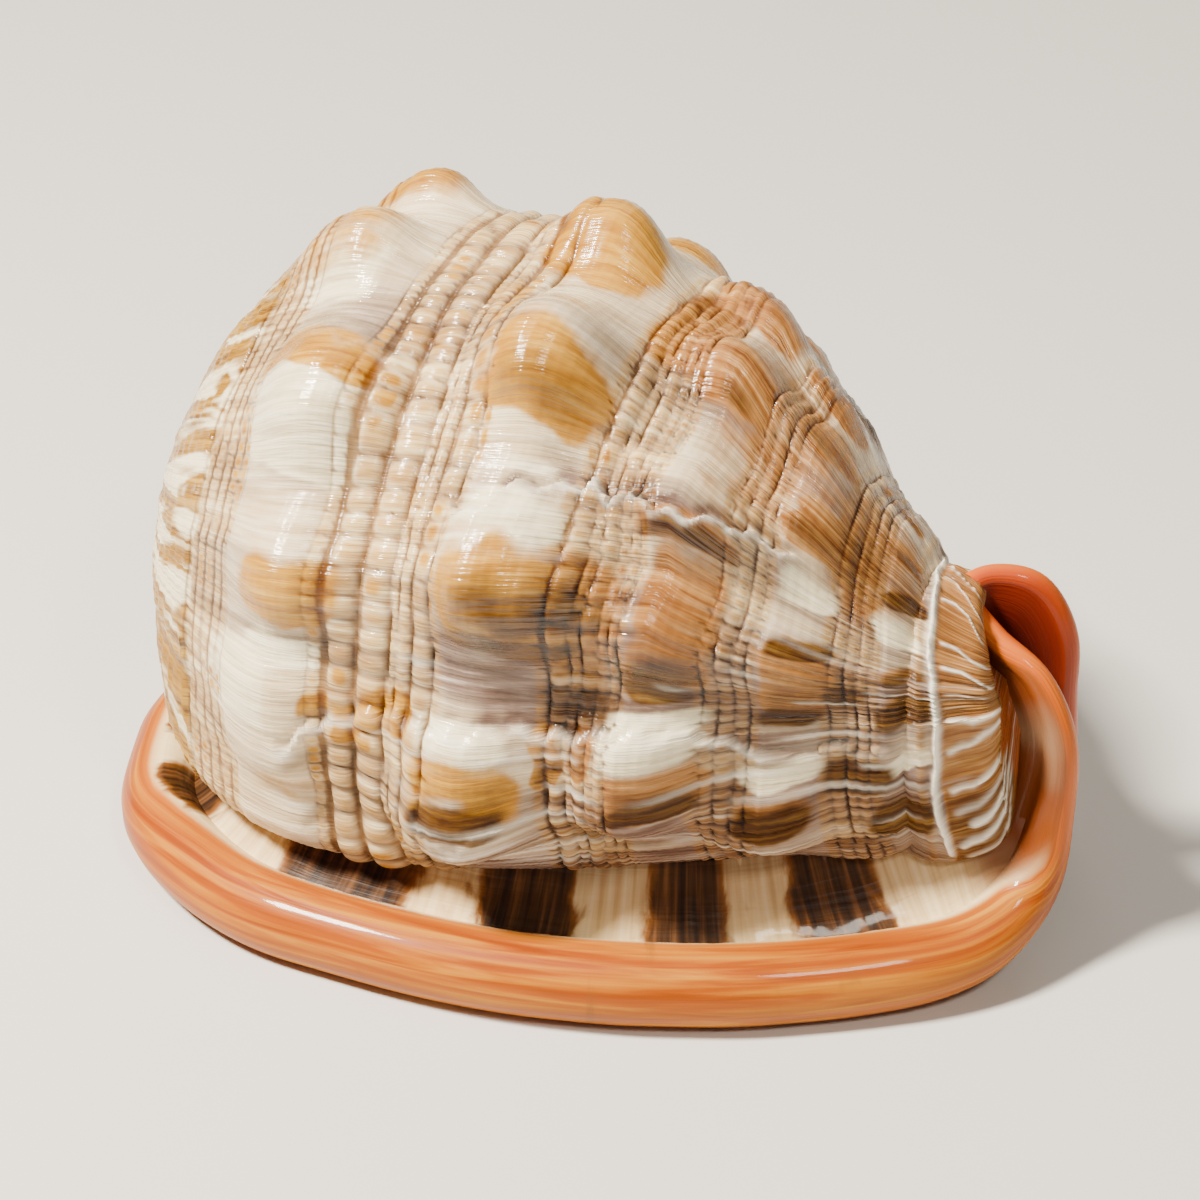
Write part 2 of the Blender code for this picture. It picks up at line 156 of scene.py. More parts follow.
# Rolled rim: centre, radius, inner end of the gutter, edge of the mouth, outward direction.
rim = (
    ((-67.5, 8, 8), 5.8, (-55, 6, 24), (-56, 2, 8), (-1, 0, 0)),
    ((-67.5, -8, 7), 6, (-54, -7, 22), (-55, -2.5, 8), (-1, -0.1, 0)),
    ((-66, -23.5, 6.6), 6.2, (-53, -18, 20), (-53, -6, 7), (-1, -0.4, 0)),
    ((-57.2, -40.8, 6.3), 6.3, (-46, -30, 19), (-46, -8, 6), (-0.7, -0.8, 0)),
    ((-38, -51.5, 6.3), 6.3, (-34, -38, 19), (-34, -9.7, 5), (-0.3, -1, 0)),
    ((-15, -52.6, 6.3), 6.3, (-14, -40, 19), (-16, -10.2, 5), (0, -1, 0)),
    ((10, -49.3, 6.3), 6.3, (8, -37, 19), (8, -10.2, 5), (0.2, -1, 0)),
    ((36, -40, 6.3), 6.3, (30, -28, 19), (32, -9.2, 5), (0.4, -1, 0)),
    ((57, -27.3, 6.4), 6.2, (46, -17, 21), (51, -7, 7), (0.6, -0.8, 0)),
    ((69, -17, 8), 5.6, (54, -6, 26), (60, -3.5, 12), (0.85, -0.5, -0.1)),
    ((74.5, -7, 14), 4.6, (61, 0, 30), (64, 1, 20), (1, -0.2, -0.2)),
    ((75.6, -2, 26), 3.4, (60, 2, 34), (65, 4, 29), (1, 0, 0)),
    ((75.5, -1.5, 38), 2.6, (60, 3, 40), (65, 5, 39), (1, 0, 0.2)),
    ((71, -0.5, 47), 2.2, (58, 4, 44), (63, 5, 43.5), (0.7, 0, 0.7)),
    ((63.5, 1, 51.5), 1.9, (56, 4, 46), (60.5, 5, 46), (0.3, 0, 1)),
    ((57.5, 4.5, 55), 1.8, (53, 5, 47), (59, 5.5, 47), (0, 0, 1)),
    ((60, 8, 57), 1.8, (54, 7, 46), (60, 6, 46), (0.2, 0, 1)),
    ((66.5, 10.5, 55.5), 2.1, (55, 8, 43), (62.5, 6, 43.5), (0.7, 0.1, 0.8)),
    ((70.9, 11.5, 47.5), 2.3, (54, 9, 39), (64, 7, 39), (1, 0.1, 0.2)),
    ((71.4, 12.3, 36), 2.5, (52, 11, 35), (64, 8, 30), (1, 0.2, 0)),
    ((71, 14.5, 24), 3.2, (50, 13, 31), (62, 8, 20), (1, 0.3, -0.1)),
    ((67.5, 21, 13), 4.4, (46, 14, 29), (57, 6, 12), (0.9, 0.6, -0.1)),
    ((57, 31, 7.5), 5.2, (38, 18.5, 24.5), (48, 4, 7), (0.6, 0.8, 0)),
    ((37, 40, 5.6), 5.6, (28, 27.5, 21.5), (30, 3, 5), (0.3, 1, 0)),
    ((12, 45.5, 5.6), 5.6, (7, 35, 21), (8, 2.5, 5), (0.1, 1, 0)),
    ((-14, 47, 5.6), 5.6, (-14, 37, 21), (-14, 2, 5), (0, 1, 0)),
    ((-38, 43.5, 5.6), 5.6, (-33, 33, 21), (-33, 2, 5), (-0.3, 1, 0)),
    ((-56, 34, 6.2), 5.8, (-46, 25, 22), (-46, 2, 6), (-0.75, 0.7, 0)),
    ((-65.5, 22, 7.2), 5.8, (-53, 16, 23), (-53, 2, 7), (-1, 0.3, 0)),
)
lip = {
    "teeth": 23, "toothDepth": 2.2, "folds": 17, "foldDepth": 1.4,
    "samples": 8, "canalSamples": 110, "backSamples": 36,
    "gutterParts": 9, "arcPoints": 15, "underParts": 11, "rest": 0.55,
    # Middle and half length of each dark patch in the gutter, as places along the rim list.
    "patches": (
        (1.95, 0.22), (2.95, 0.33), (4.72, 0.5), (5.98, 0.3), (6.95, 0.25), (8, 0.38),
        (22.6, 0.3), (23.7, 0.28), (24.7, 0.3), (25.7, 0.28), (26.7, 0.25), (27.6, 0.22), (28.5, 0.22),
        (0.6, 0.2),
    ),
}

# Room inside the last turn and the slit under it: X, near and far side of the slit, middle in Y and Z,
# half width and half height.
room = (
    (-53, -3, 1.5, -4, 36, 5, 12), (-48, -6.3, 1.5, -7, 42, 17, 24),
    (-38, -8.8, 1.8, -8, 47, 29, 34), (-20, -9.5, 1.8, -8, 50, 34, 38),
    (0, -9.5, 2, -8, 49, 33, 37), (20, -8.8, 2.2, -6, 46, 26, 31),
    (38, -7.5, 2.8, -3, 42, 15, 19), (50, -5, 3.8, 0, 34, 6, 9),
    (58, -2.5, 5.5, 1.5, 24, 4.2, 4), (66, 1, 7.5, 4.2, 20, 3.4, 3),
    (84, 1, 7.5, 4.2, 20, 3.4, 3),
)
# Floor of the canal: middle of a tube and its radius.
canalFloor = (
    (40, 4, 34, 9), (52, 5, 36, 8.5), (59, 5.8, 39, 6), (60.8, 6, 43, 4.2),
    (59.8, 6, 47.5, 3.2), (57.8, 5.6, 51.5, 2.2), (57, 5.2, 54, 1.3),
)
tube = {"steps": 25, "sides": 24, "across": 36.0}  # across: its place on the lip's map, deep in the mouth

# Colour blotches on the body: X, angle, half length along X, half angle, warm, dark, pale.
blotches = (
    (-37, -19, 7, 9, 0.6, 0, 0), (-37, 8, 8, 10, 0.45, 0, 0), (-20, -5, 10, 25, 0.22, 0, 0),
    (-38, 4, 4, 3, 0.25, 0.1, 0.6), (-36, 14, 7, 8, 0.2, 0, 0.7),
    (-31, 33.5, 9, 4.3, 0.95, 0.12, 0), (-31, 45, 9, 8.5, 0, 0, 0.95), (-28, 70, 7, 5.5, 1, 0.16, 0),
    (-36, 88, 6, 8, 0, 0, 0.8), (-30, 103, 8, 4, 0.35, 0.1, 0.2), (-24.5, 89.5, 2.6, 2.5, 0.75, 0.2, 0),
    (-26, 94, 3, 3, 0.2, 0.25, 0), (-26, 108, 3, 3, 0, 0.3, 0), (-30, 81, 8, 4, 0, 0, 0.6),
    (-1, -5, 8, 9, 1, 0.05, 0), (-2, 9, 7, 5, 0, 0, 0.5), (2.5, 29, 8, 7, 0.9, 0.3, 0),
    (6.5, 38, 4.5, 3.5, 0.2, 0.3, 0),
    (4, 43, 7, 3.5, 0, 0, 0.45), (3.5, 50, 8, 3.8, 0, 0, 0.8), (8.5, 61.5, 11, 7.5, 1, 0.42, 0),
    (7, 69.5, 9, 3, 0.3, 0.6, 0), (0, 87.5, 7, 3.5, 0.1, 0, 0.75), (0.5, 92.4, 7, 6.3, 1, 0.35, 0),
    (0.5, 94.6, 6.5, 4, 0.5, 0.75, 0), (1, 90, 3.6, 2.6, 0, 0, 0.75),
    (20, -22, 7, 10, 1, 0.1, 0), (25, 8, 6, 8, 0.8, 0.1, 0), (25.5, 12, 3, 3.5, 0.7, 0.35, 0),
    (24, 27, 6, 6, 0, 0, 0.5),
    (25.5, 43.7, 6, 3.2, 0.8, 0.5, 0), (26, 57, 5, 11.5, 0.75, 0.1, 0), (25, 70, 4.8, 5.5, 0.8, 0.5, 0),
    (24.3, 75.5, 3.8, 3.5, 0.5, 1, 0), (24, 83, 6, 3, 0, 0, 0.8), (24, 87.5, 6, 4, 0, 0, 0.7),
    (24.8, 92.2, 5.2, 5, 1, 0.4, 0), (25, 94, 4.8, 3, 0.6, 1, 0),
    (34, -18, 5, 8, 1, 0.3, 0), (36, 2, 4.5, 8, 1, 0.3, 0), (38.8, 29.5, 4, 7.5, 1, 0.35, 0),
    (38, 46, 4, 6, 0, 0, 0.7), (38.8, 62, 3.7, 3.5, 0.4, 0.85, 0), (38.5, 72, 3.9, 12, 0.85, 0.3, 0),
    (37.5, 83, 3.7, 5, 0.5, 0.65, 0), (36.5, 93, 5, 3.5, 0, 0, 0.65), (36.3, 100.6, 3.8, 5.6, 0.7, 1, 0),
    (46, -14, 4, 8, 0.9, 0.4, 0), (49.5, 12, 3, 6, 0.9, 0.4, 0), (50, 33, 3.2, 6, 0.6, 0.75, 0),
    (49, 48, 3.5, 7, 0, 0, 0.7), (50, 66, 3.2, 5, 0.5, 0.5, 0), (50, 81, 3.4, 9, 0.6, 0.8, 0),
    (50, 93.5, 3.2, 2.5, 0, 0, 0.8), (49.2, 104.6, 3.6, 7, 0.3, 1, 0), (44.3, 93.7, 4, 5.1, 0.3, 0.85, 0),
    (-9, 14, 5, 9, 0.35, 0, 0), (-13, 50, 9, 9, 0.3, 0, 0.1), (-19, 90.2, 2.6, 3.8, 0.95, 0.1, 0),
    (-14, 88, 3, 4, 0.95, 0.15, 0), (-9.5, 88, 2, 4, 1, 0.2, 0), (15, -2, 5, 15, 1, 0.15, 0),
    (11, 90.1, 2.1, 7, 1, 0.35, 0), (16, 89.2, 1.9, 5.1, 1, 0.3, 0), (31, 20, 2.5, 12, 0.5, 0.1, 0),
    (43.5, 30, 3, 18, 0.7, 0.35, 0), (43.5, 74, 3, 8, 0.2, 0.45, 0), (31, 70, 3, 10, 0.1, 0.2, 0.2),
    (14.5, 65, 4.5, 14, 0.6, 0.25, 0), (17, 103, 4, 4, 0, 0.35, 0), (-17, 22, 8, 6, 0.35, 0, 0.1),
    (31, 8, 12, 34, 0.42, 0.1, 0), (45, 20, 8, 30, 0.45, 0.3, 0), (15, 78, 5, 6, 0.2, 0.4, 0),
    (-34, -50, 7, 9, 0.9, 0.1, 0), (-34, -78, 7, 9, 0.8, 0.2, 0), (-34, -104, 7, 8, 0.8, 0.2, 0),
    (-1, -48, 8, 9, 1, 0.15, 0), (0, -86, 8, 8, 0.7, 0.6, 0), (21, -52, 6, 9, 0.9, 0.3, 0),
    (22, -80, 6, 9, 0.7, 0.6, 0), (34, -48, 5, 9, 0.8, 0.5, 0), (-34, -64, 6, 5, 0, 0, 0.7),
    (-1, -68, 6, 5, 0, 0, 0.7), (0, -106, 8, 6, 0.4, 0.8, 0), (22, -104, 6, 6, 0.4, 0.8, 0),
    (35, -80, 5, 9, 0.5, 0.8, 0), (46, -50, 4, 9, 0.6, 0.5, 0), (0, -28, 7, 5, 0, 0, 0.6),
)


def between(before, here, there, beyond, part):
    # A smooth curve from here (part 0) to there (part 1).
    return 0.5 * (
        2 * here
        + (there - before) * part
        + (2 * before - 5 * here + 4 * there - beyond) * part**2
        + (3 * here - 3 * there + beyond - before) * part**3
    )


def curveThrough(points, places):
    # Points on a smooth open curve through the given ones, at places from 0 to 1.
    given = np.asarray(points, float)
    count = len(given)
    places = np.clip(np.asarray(places, float), 0, 1) * (count - 1)
    start = np.minimum(places.astype(int), count - 2)
    part = (places - start)[:, None]
    padded = np.vstack([2 * given[0] - given[1], given, 2 * given[-1] - given[-2]])
    before, here, there, beyond = (padded[start + step] for step in range(4))
    return between(before, here, there, beyond, part)


def ringThrough(points, places):
    # The same on a closed curve, at places counted in given points.
    given = np.asarray(points, float)
    count = len(given)
    start = np.floor(places).astype(int)
    part = (places - start)[:, None]
    before, here, there, beyond = (given[(start + step) % count] for step in (-1, 0, 1, 2))
    return between(before, here, there, beyond, part)


def ease(low, high, value):
    share = np.clip((value - low) / (high - low), 0, 1)
    return share * share * (3 - 2 * share)


def unitOf(vectors):
    return vectors / np.linalg.norm(vectors, axis=-1, keepdims=True)


def wander(along, spacing, seed):
    # Smooth random numbers from -1 to 1, a new one at each spacing.
    table = np.random.default_rng(seed).uniform(-1, 1, 2048)
    cell = np.floor(along / spacing).astype(int)
    part = ease(0, 1, along / spacing - cell)
    return table[cell % 2048] * (1 - part) + table[(cell + 1) % 2048] * part


def wanderOver(across, along, acrossSpacing, alongSpacing, seed):
    # The same over a surface.
    table = np.random.default_rng(seed).uniform(-1, 1, (256, 256))
    cellA = np.floor(across / acrossSpacing).astype(int)
    cellB = np.floor(along / alongSpacing).astype(int)
    partA = ease(0, 1, across / acrossSpacing - cellA)
    partB = ease(0, 1, along / alongSpacing - cellB)
    a0, a1, b0, b1 = cellA % 256, (cellA + 1) % 256, cellB % 256, (cellB + 1) % 256
    low = table[a0, b0] * (1 - partA) + table[a1, b0] * partA
    high = table[a0, b1] * (1 - partA) + table[a1, b1] * partA
    return low * (1 - partB) + high * partB


def driftOf(x, turn):
    perRadian = whorl["driftMiddle"] + (whorl["driftCanal"] - whorl["driftMiddle"]) * ease(20, 55, x)
    perRadian = perRadian + (whorl["driftBack"] - whorl["driftMiddle"]) * (1 - ease(-55, -30, x))
    below = ease(radians(125), pi, np.abs(turn))
    return turn * np.where(turn > 0, 1.0, 0.4) * (1 - below) * perRadian * ease(-73, -60, x)


def aroundOf(turned):
    # Length around a middle section of the body up to this angle.
    angles = np.radians(np.linspace(-180, 180, 3601))
    lower = np.abs(angles) > pi / 2
    power = np.where(lower, whorl["lowerNear"], 1.0)
    side = 49.0 * np.sign(angles) * np.abs(np.sin(angles)) ** power
    up = np.where(lower, 39.0, 50.0) * np.sign(np.cos(angles)) * np.abs(np.cos(angles)) ** power
    run = np.concatenate([[0], np.cumsum(np.hypot(np.diff(side), np.diff(up)))])
    return np.interp(turned, np.degrees(angles), run - np.interp(0, angles, run))


def growthLine(x, turned):
    # Constant along a growth line, in mm, which leans back between the rows and forward near the canal.
    lean = 0.4 * np.maximum(x - 24, 0) * (1 - ease(60, 95, turned))
    return aroundOf(turned) - lean + 0.18 * np.minimum(x, 24) * (1 - ease(55, 85, turned))


def beadCount(growth):
    # Beads passed up to this growth line: short ones on the back, long ones towards the lip.
    lines = np.linspace(-220, 220, 2201)
    period = beads["short"] + (beads["long"] - beads["short"]) * ease(beads["from"], beads["to"], lines)
    passed = np.concatenate([[0], np.cumsum(np.diff(lines) / period[1:])])
    passed = passed - np.interp(0, lines, passed)
    return np.interp(growth, lines, passed) + beads["jitter"] * wander(growth, 6.0, 11)


def bodyRelief(x, turn, radius, past):
    # Height over the smooth body, and what the materials need: (warm, dark, pale), (crown, groove, white) and
    # (ground darkening with painted shade, orange wall, ramp). past is the length past the crest.
    shape = np.broadcast(x, turn).shape
    x = np.broadcast_to(x, shape)
    turn = np.broadcast_to(turn, shape)
    radius = np.broadcast_to(radius, shape)
    turned = np.degrees(turn)
    arc = aroundOf(turned)
    height = np.zeros(shape)
    fade = ease(-150, -110, turned) * (1 - ease(112, 128, turned))
    cordFade = ease(-160, -135, turned) * (1 - ease(136, 150, turned))

    spread = np.zeros(shape)
    knobbed = np.zeros(shape)
    for knobX, angle, knobHeight, along, around in knobs:
        across = (x - knobX) / along
        about = (turn - radians(angle)) * radius / around
        about = about * np.where(about > 0, 1.18, 0.94)  # steeper towards the lip
        away = across**2 + about**2
        # The fine surface stands a little steeper than the plain solid where the outline doesn't show it.
        height += knobHeight * (1.15 if 20 < angle < 110 else 1.0) * np.exp(-(away**1.4))
        knobbed = np.maximum(knobbed, np.exp(-away) * min(knobHeight / 4, 1))
        spread += 0.2 * (x - knobX) * np.exp(-0.55 * away) * min(knobHeight / 6, 1)
    for rowX, rowHeight, half in rowRidges:
        height += rowHeight * np.exp(-(((x - rowX) / half) ** 2))
    height *= fade

    winding = np.log(np.maximum(radius, 0.5) / spire["radius"]) / log(spire["growth"]) - turn / (2 * pi)
    part = winding - np.floor(winding)
    bulge = spire["bulge"] * (np.sin(pi * part) ** 0.6 - 0.6)
    height += bulge * ease(3, 9, radius) * (1 - ease(-1, 0, winding))
    for swellX, angle, swellHeight, along, around in swellings:
        about = (turn - radians(angle)) * radius / around
        height += swellHeight * np.exp(-(((x - swellX) / along) ** 2 + about**2))

    # Cords give way to the knobs beside them.
    growth = growthLine(x, turned)
    cordX = x - spread + 0.25 * wander(turned, 14, 5)
    passed = beadCount(growth)
    crown = np.zeros(shape)
    groove = np.zeros(shape)
    for low, high in cordZones:
        within = ease(low - 0.5, low + 0.5, cordX) * (1 - ease(high - 0.5, high + 0.5, cordX))
        groove = np.maximum(groove, within)
    cordHeight = -0.45 * groove
    for cordMiddle, width, tall, finer in cords:
        inside = np.clip(1 - (2 * (cordX - cordMiddle) / width) ** 2, 0, 1) ** 0.5
        seed = int(cordMiddle * 10)
        phase = passed * finer + 0.13 * wander(growth, 16, seed + 900)
        bead = np.abs(np.sin(pi * phase)) ** 0.6
        crown = np.maximum(crown, inside * bead)
        uneven = 0.85 + 0.15 * wander(growth, 5, seed + 1500)
        cordHeight += tall * inside * (0.35 + 0.65 * bead) * uneven
    height += cordHeight * cordFade
    threads = np.sin(2 * pi * (cordX / 1.25 + 0.2 * wander(turned, 20, 21)))
    height += 0.05 * threads * (1 - groove) * cordFade * ease(-46, -42, x) * (1 - ease(50, 53, x))

    # Growth lines, in bundles that stand out more in some places than in others.
    lines = wander(growth + 0.5 * wanderOver(x, arc, 9, 12, 31), 1.3, 32)
    bundle = 0.5 + 0.5 * wanderOver(x, arc, 22, 9, 33)
    height += (0.1 + 0.24 * bundle) * lines * (1 - 0.4 * groove) * ease(-70, -60, x)
    waves = wander(growth + 0.8 * wanderOver(x, arc, 12, 16, 34), 4.5, 35)
    height += 0.32 * waves * cordFade * (1 - 0.6 * knobbed)

    # Ledges where growth rested: a rippled edge that falls away towards the lip.
    white = np.zeros(shape)
    shadow = np.zeros(shape)
    for points, step in scars:
        places = np.array(points, float)
        ripple = 0.6 * np.sin(2 * pi * x / 4.9 + wander(x, 7, 40)) + 0.8 * wander(x, 3.5, 41) - 0.8 * crown
        edge = np.interp(x, places[:, 0], aroundOf(places[:, 1])) + ripple
        first, last = places[0, 0], places[-1, 0]
        within = ease(first - 3, first + 1, x) * (1 - ease(last - 1, last + 3, x))
        beyond = arc - edge
        fall = ease(-0.6, 0.4, beyond) * np.exp(-np.maximum(beyond, 0) / 7)
        height += within * step * (fall - 0.3 * np.exp(-(beyond + 1) ** 2))
        seen = 0.15 * min(step, 2) + 0.45 * ease(-0.1, 0.8, wander(x, 5, 42))
        white = np.maximum(white, within * np.exp(-(((beyond - 0.45) / 0.6) ** 2)) * seen * min(step, 1))
        shadow = np.maximum(shadow, within * np.exp(-(((beyond + 1.3) / 1.6) ** 2)) * min(step, 1))

    # Fine pale lines along the old lips, towards the outer lip.
    pleats = growth / 2.1 + 0.35 * wanderOver(x, arc, 10, 12, 36)
    line = np.exp(-(((pleats % 1 - 0.5) / 0.22) ** 2)) * ease(-0.2, 0.8, wander(np.floor(pleats), 1, 37))
    line *= ease(-0.1, 0.5, wanderOver(x, arc, 7, 4, 38)) * ease(50, 84, turned) * ease(-45, 0, x)
    white = np.maximum(white, 0.55 * line)
    height += 0.15 * line

    # The ramp above the first row: wrinkled threads.
    ramp = (1 - ease(-47, -44.5, x)) * ease(-70, -64, x)
    wrinkle = np.sin(2 * pi * (x + 0.7 * wanderOver(x, arc, 6, 4, 51)) / 1.9)
    height += ramp * (0.22 * wrinkle + 0.3 * wanderOver(x, arc, 3.2, 5.5, 52))

    # The white crest and the raised edges behind it.
    crestX = crest["x"] + 0.35 * wander(turned, 13, 61)
    onCrest = ease(crest["from"], crest["from"] + 25, turned)
    onCrest = onCrest * (1 - ease(crest["to"], crest["to"] + 8, turned))
    ridge = np.exp(-(((x - crestX) / crest["half"]) ** 2)) * (0.8 + 0.2 * wander(turned, 3, 62))
    height += onCrest * crest["height"] * ridge
    white = np.maximum(white, onCrest * np.exp(-(((x - crestX) / (crest["half"] * 0.8)) ** 2)))
    bandEnd = 9.5 + 6.5 * ease(93, 112, turned)
    band = ease(0.6, 1.4, past) * (1 - ease(bandEnd - 0.8, bandEnd + 0.4, past)) * ease(-100, -70, turned)
    band = band * (1 - ease(134, 142, turned))
    for points, tall in lamellae:
        places = np.array(points, float)
        line = np.interp(past, places[:, 0], aroundOf(places[:, 1]))
        first, last = places[0, 0], places[-1, 0]
        ends = ease(first - 1.0, first + 0.6, past) * (1 - ease(last - 0.6, last + 0.8, past))
        beyond = arc - line + 0.3 * wander(past, 1.7, int(places[0, 1]) + 300)
        edge = np.where(beyond < 0, np.exp(-((beyond / 0.5) ** 2)), np.exp(-beyond / 1.6))
        height += band * ends * tall * 0.8 * edge
        white = np.maximum(white, band * ends * min(tall * 1.1, 1) * np.exp(-(((beyond - 0.2) / 0.75) ** 2)))

    warm, dark, pale = (np.zeros(shape) for count in range(3))
    for spotX, angle, halfX, halfAngle, spotWarm, spotDark, spotPale in blotches:
        edgeX = spotX + 0.8 * wander(arc, 4, int(angle) + 400)
        edgeArc = aroundOf(angle) + 1.3 * wander(x, 4, int(spotX) + 500)
        off = (cordX - edgeX) / halfX
        down = (arc - edgeArc) / (halfAngle * 0.87)
        spot = np.exp(-(np.abs(off) ** 4) - np.where(down > 0, np.abs(down) ** 6, np.abs(down) ** 2.2))
        warm = np.maximum(warm, spot * spotWarm)
        dark = np.maximum(dark, spot * min(spotDark * 1.8, 1.4) * (0.4 + 0.6 * ease(-0.8, 0.5, down)))
        pale = np.maximum(pale, spot * spotPale)
    golden = 0.6 * crown * ease(0.05, 0.5, wanderOver(x, arc, 4, 8, 76)) * (1 - 0.5 * ease(10, 30, x))
    warm = np.maximum(warm, golden)
    pale = np.maximum(pale, ramp * 0.8)
    onBand = ease(0, 1, past)
    warm = np.maximum(warm * (1 - onBand), onBand * 0.75)
    dark = np.maximum(dark * (1 - onBand), onBand * (0.3 + 0.35 * ease(95, 110, turned)))
    pale = pale * (1 - onBand)
    wall = ease(-0.8, 1.2, past - bandEnd) * onBand
    # Ground darkening: darker towards the canal end, in clouds and along growth lines, with painted shade on
    # the lower band from about 52 degrees round.
    duskAndShade = 0.1 + 0.4 * ease(-5, 38, x) + 0.2 * wanderOver(x, arc, 14, 11, 72)
    duskAndShade += 0.45 * ease(52, 68, turned) * (1 - 0.6 * ease(84, 90, turned)) * ease(-14, 2, x)
    # Painted shade on the lowest band past 112 degrees, and painted shadow just above each ledge.
    streaky = 0.3 * ease(112, 122, turned) * ease(-20, -5, x) + 0.3 * wander(growth, 8, 74)
    duskAndShade += streaky + 0.3 * wander(growth, 2.6, 75) + 0.5 * shadow
    # Painted shade, with a stain, under the big knob at X 6, and painted shade below the cords at X 15.
    duskAndShade += 0.9 * np.exp(-(((x - 6) / 10) ** 2) - ((turned - 74) / 5) ** 2)
    duskAndShade += 0.8 * np.exp(-(((x - 15) / 6) ** 2) - ((turned - 70) / 13) ** 2)
    duskAndShade = np.clip(duskAndShade - 0.35 * (1 - ease(-40, -20, x)) * ease(70, 90, turned), 0, 1)
    return height, (warm, dark, pale), (crown * cordFade, groove * cordFade, white), (duskAndShade, wall, ramp)


def bodyPlaces():
    fine = np.linspace(0, 1, 4000)
    curve = curveThrough(whorl["profile"], fine)
    steps = np.linalg.norm(np.diff(curve[:, :2], axis=0), axis=1)
    x, radius = curve[1:, 0], curve[1:, 1]
    weight = np.where(x < -47, 0.55, 1.0) + 0.9 * ((x > 52) & (radius > 9)) - 0.4 * (radius < 8)
    run = np.concatenate([[0], np.cumsum(steps * weight)])
    return np.interp(np.linspace(0, run[-1], whorl["rows"]), run, fine)


def bodyTurns():
    angles = np.linspace(0, 138, 2000)
    arc = aroundOf(angles)
    near = np.radians(np.interp(np.linspace(0, arc[-1], whorl["nearColumns"]), arc, angles))
    under = np.linspace(radians(138), radians(232), whorl["underColumns"])[1:]
    far = np.linspace(radians(-128), 0, whorl["farColumns"])[1:-1] + 2 * pi
    return np.concatenate([near, under, far])[None, :]


def bodySurface(places, turn):
    profile = curveThrough(whorl["profile"], places)
    x, radius, reach = (profile[:, column : column + 1] for column in range(3))
    turn = np.where(turn > pi, turn - 2 * pi, turn)
    near = turn > 0
    lower = np.abs(turn) > pi / 2
    roundPart = 1 - ease(-70, -56, x)
    canalEnd = ease(36, 56, x)
    nearShare = whorl["shareNear"] + (whorl["shareNearCanal"] - whorl["shareNear"]) * canalEnd
    farShare = whorl["shareFar"] + (whorl["shareFarCanal"] - whorl["shareFar"]) * canalEnd
    share = np.where(near, nearShare, farShare)
    share = share + (1 - share) * roundPart
    power = np.where(near, whorl["lowerNear"], whorl["lowerFar"])
    power = np.where(lower, power + (1 - power) * roundPart, 1.0)
    side = radius * share * np.sign(turn) * np.abs(np.sin(turn)) ** power
    up = np.where(lower, reach, radius) * np.sign(np.cos(turn)) * np.abs(np.cos(turn)) ** power
    smooth = np.stack(np.broadcast_arrays(x + driftOf(x, turn), side, up), axis=-1)
    passed = np.cumsum(np.linalg.norm(np.diff(smooth, axis=0), axis=-1), axis=0)
    run = np.concatenate([np.zeros((1, turn.shape[1])), passed])
    crestRow = int(np.argmax(x[:, 0] > crest["x"]))
    past = run - run[crestRow]
    height, tint, cord, zone = bodyRelief(x, turn, radius, past)
    scale = 1 + height / np.maximum(np.hypot(side, up), 1)
    across, upward = whorl["axisY"] - side * scale, whorl["axisZ"] + up * scale
    points = np.stack([x + driftOf(x, turn), across, upward], axis=-1)
    uv = np.stack(np.broadcast_arrays(x, growthLine(x, np.degrees(turn))), axis=-1)
    return points, uv, [np.stack(layer, axis=-1) for layer in (tint, cord, zone)]


def toothHeight(mouthX, places):
    near = (mouthX + 52) / 110
    far = (mouthX + 50) / 102
    teeth = 0.5 - 0.5 * np.cos(2 * pi * lip["teeth"] * near)
    folds = 0.5 - 0.5 * np.cos(2 * pi * lip["folds"] * far)
    teeth = teeth * ((near > 0) & (near < 1) & (places < 11))
    return teeth, folds * ((far > 0) & (far < 1) & (places > 20))


def sectionKinds():
    # Where each point of the lip's section lies: 0 to 1 along the gutter, to 2 round the roll and to 3 on
    # the underside.
    gutter = np.linspace(0, 0.9, lip["gutterParts"])
    roll = 1 + np.linspace(0, 1, lip["arcPoints"])
    under = 2 + np.linspace(0, 1, lip["underParts"] + 1)[1:]
    return [*gutter, *roll, *under, 3.2, 3.6, 4.0]


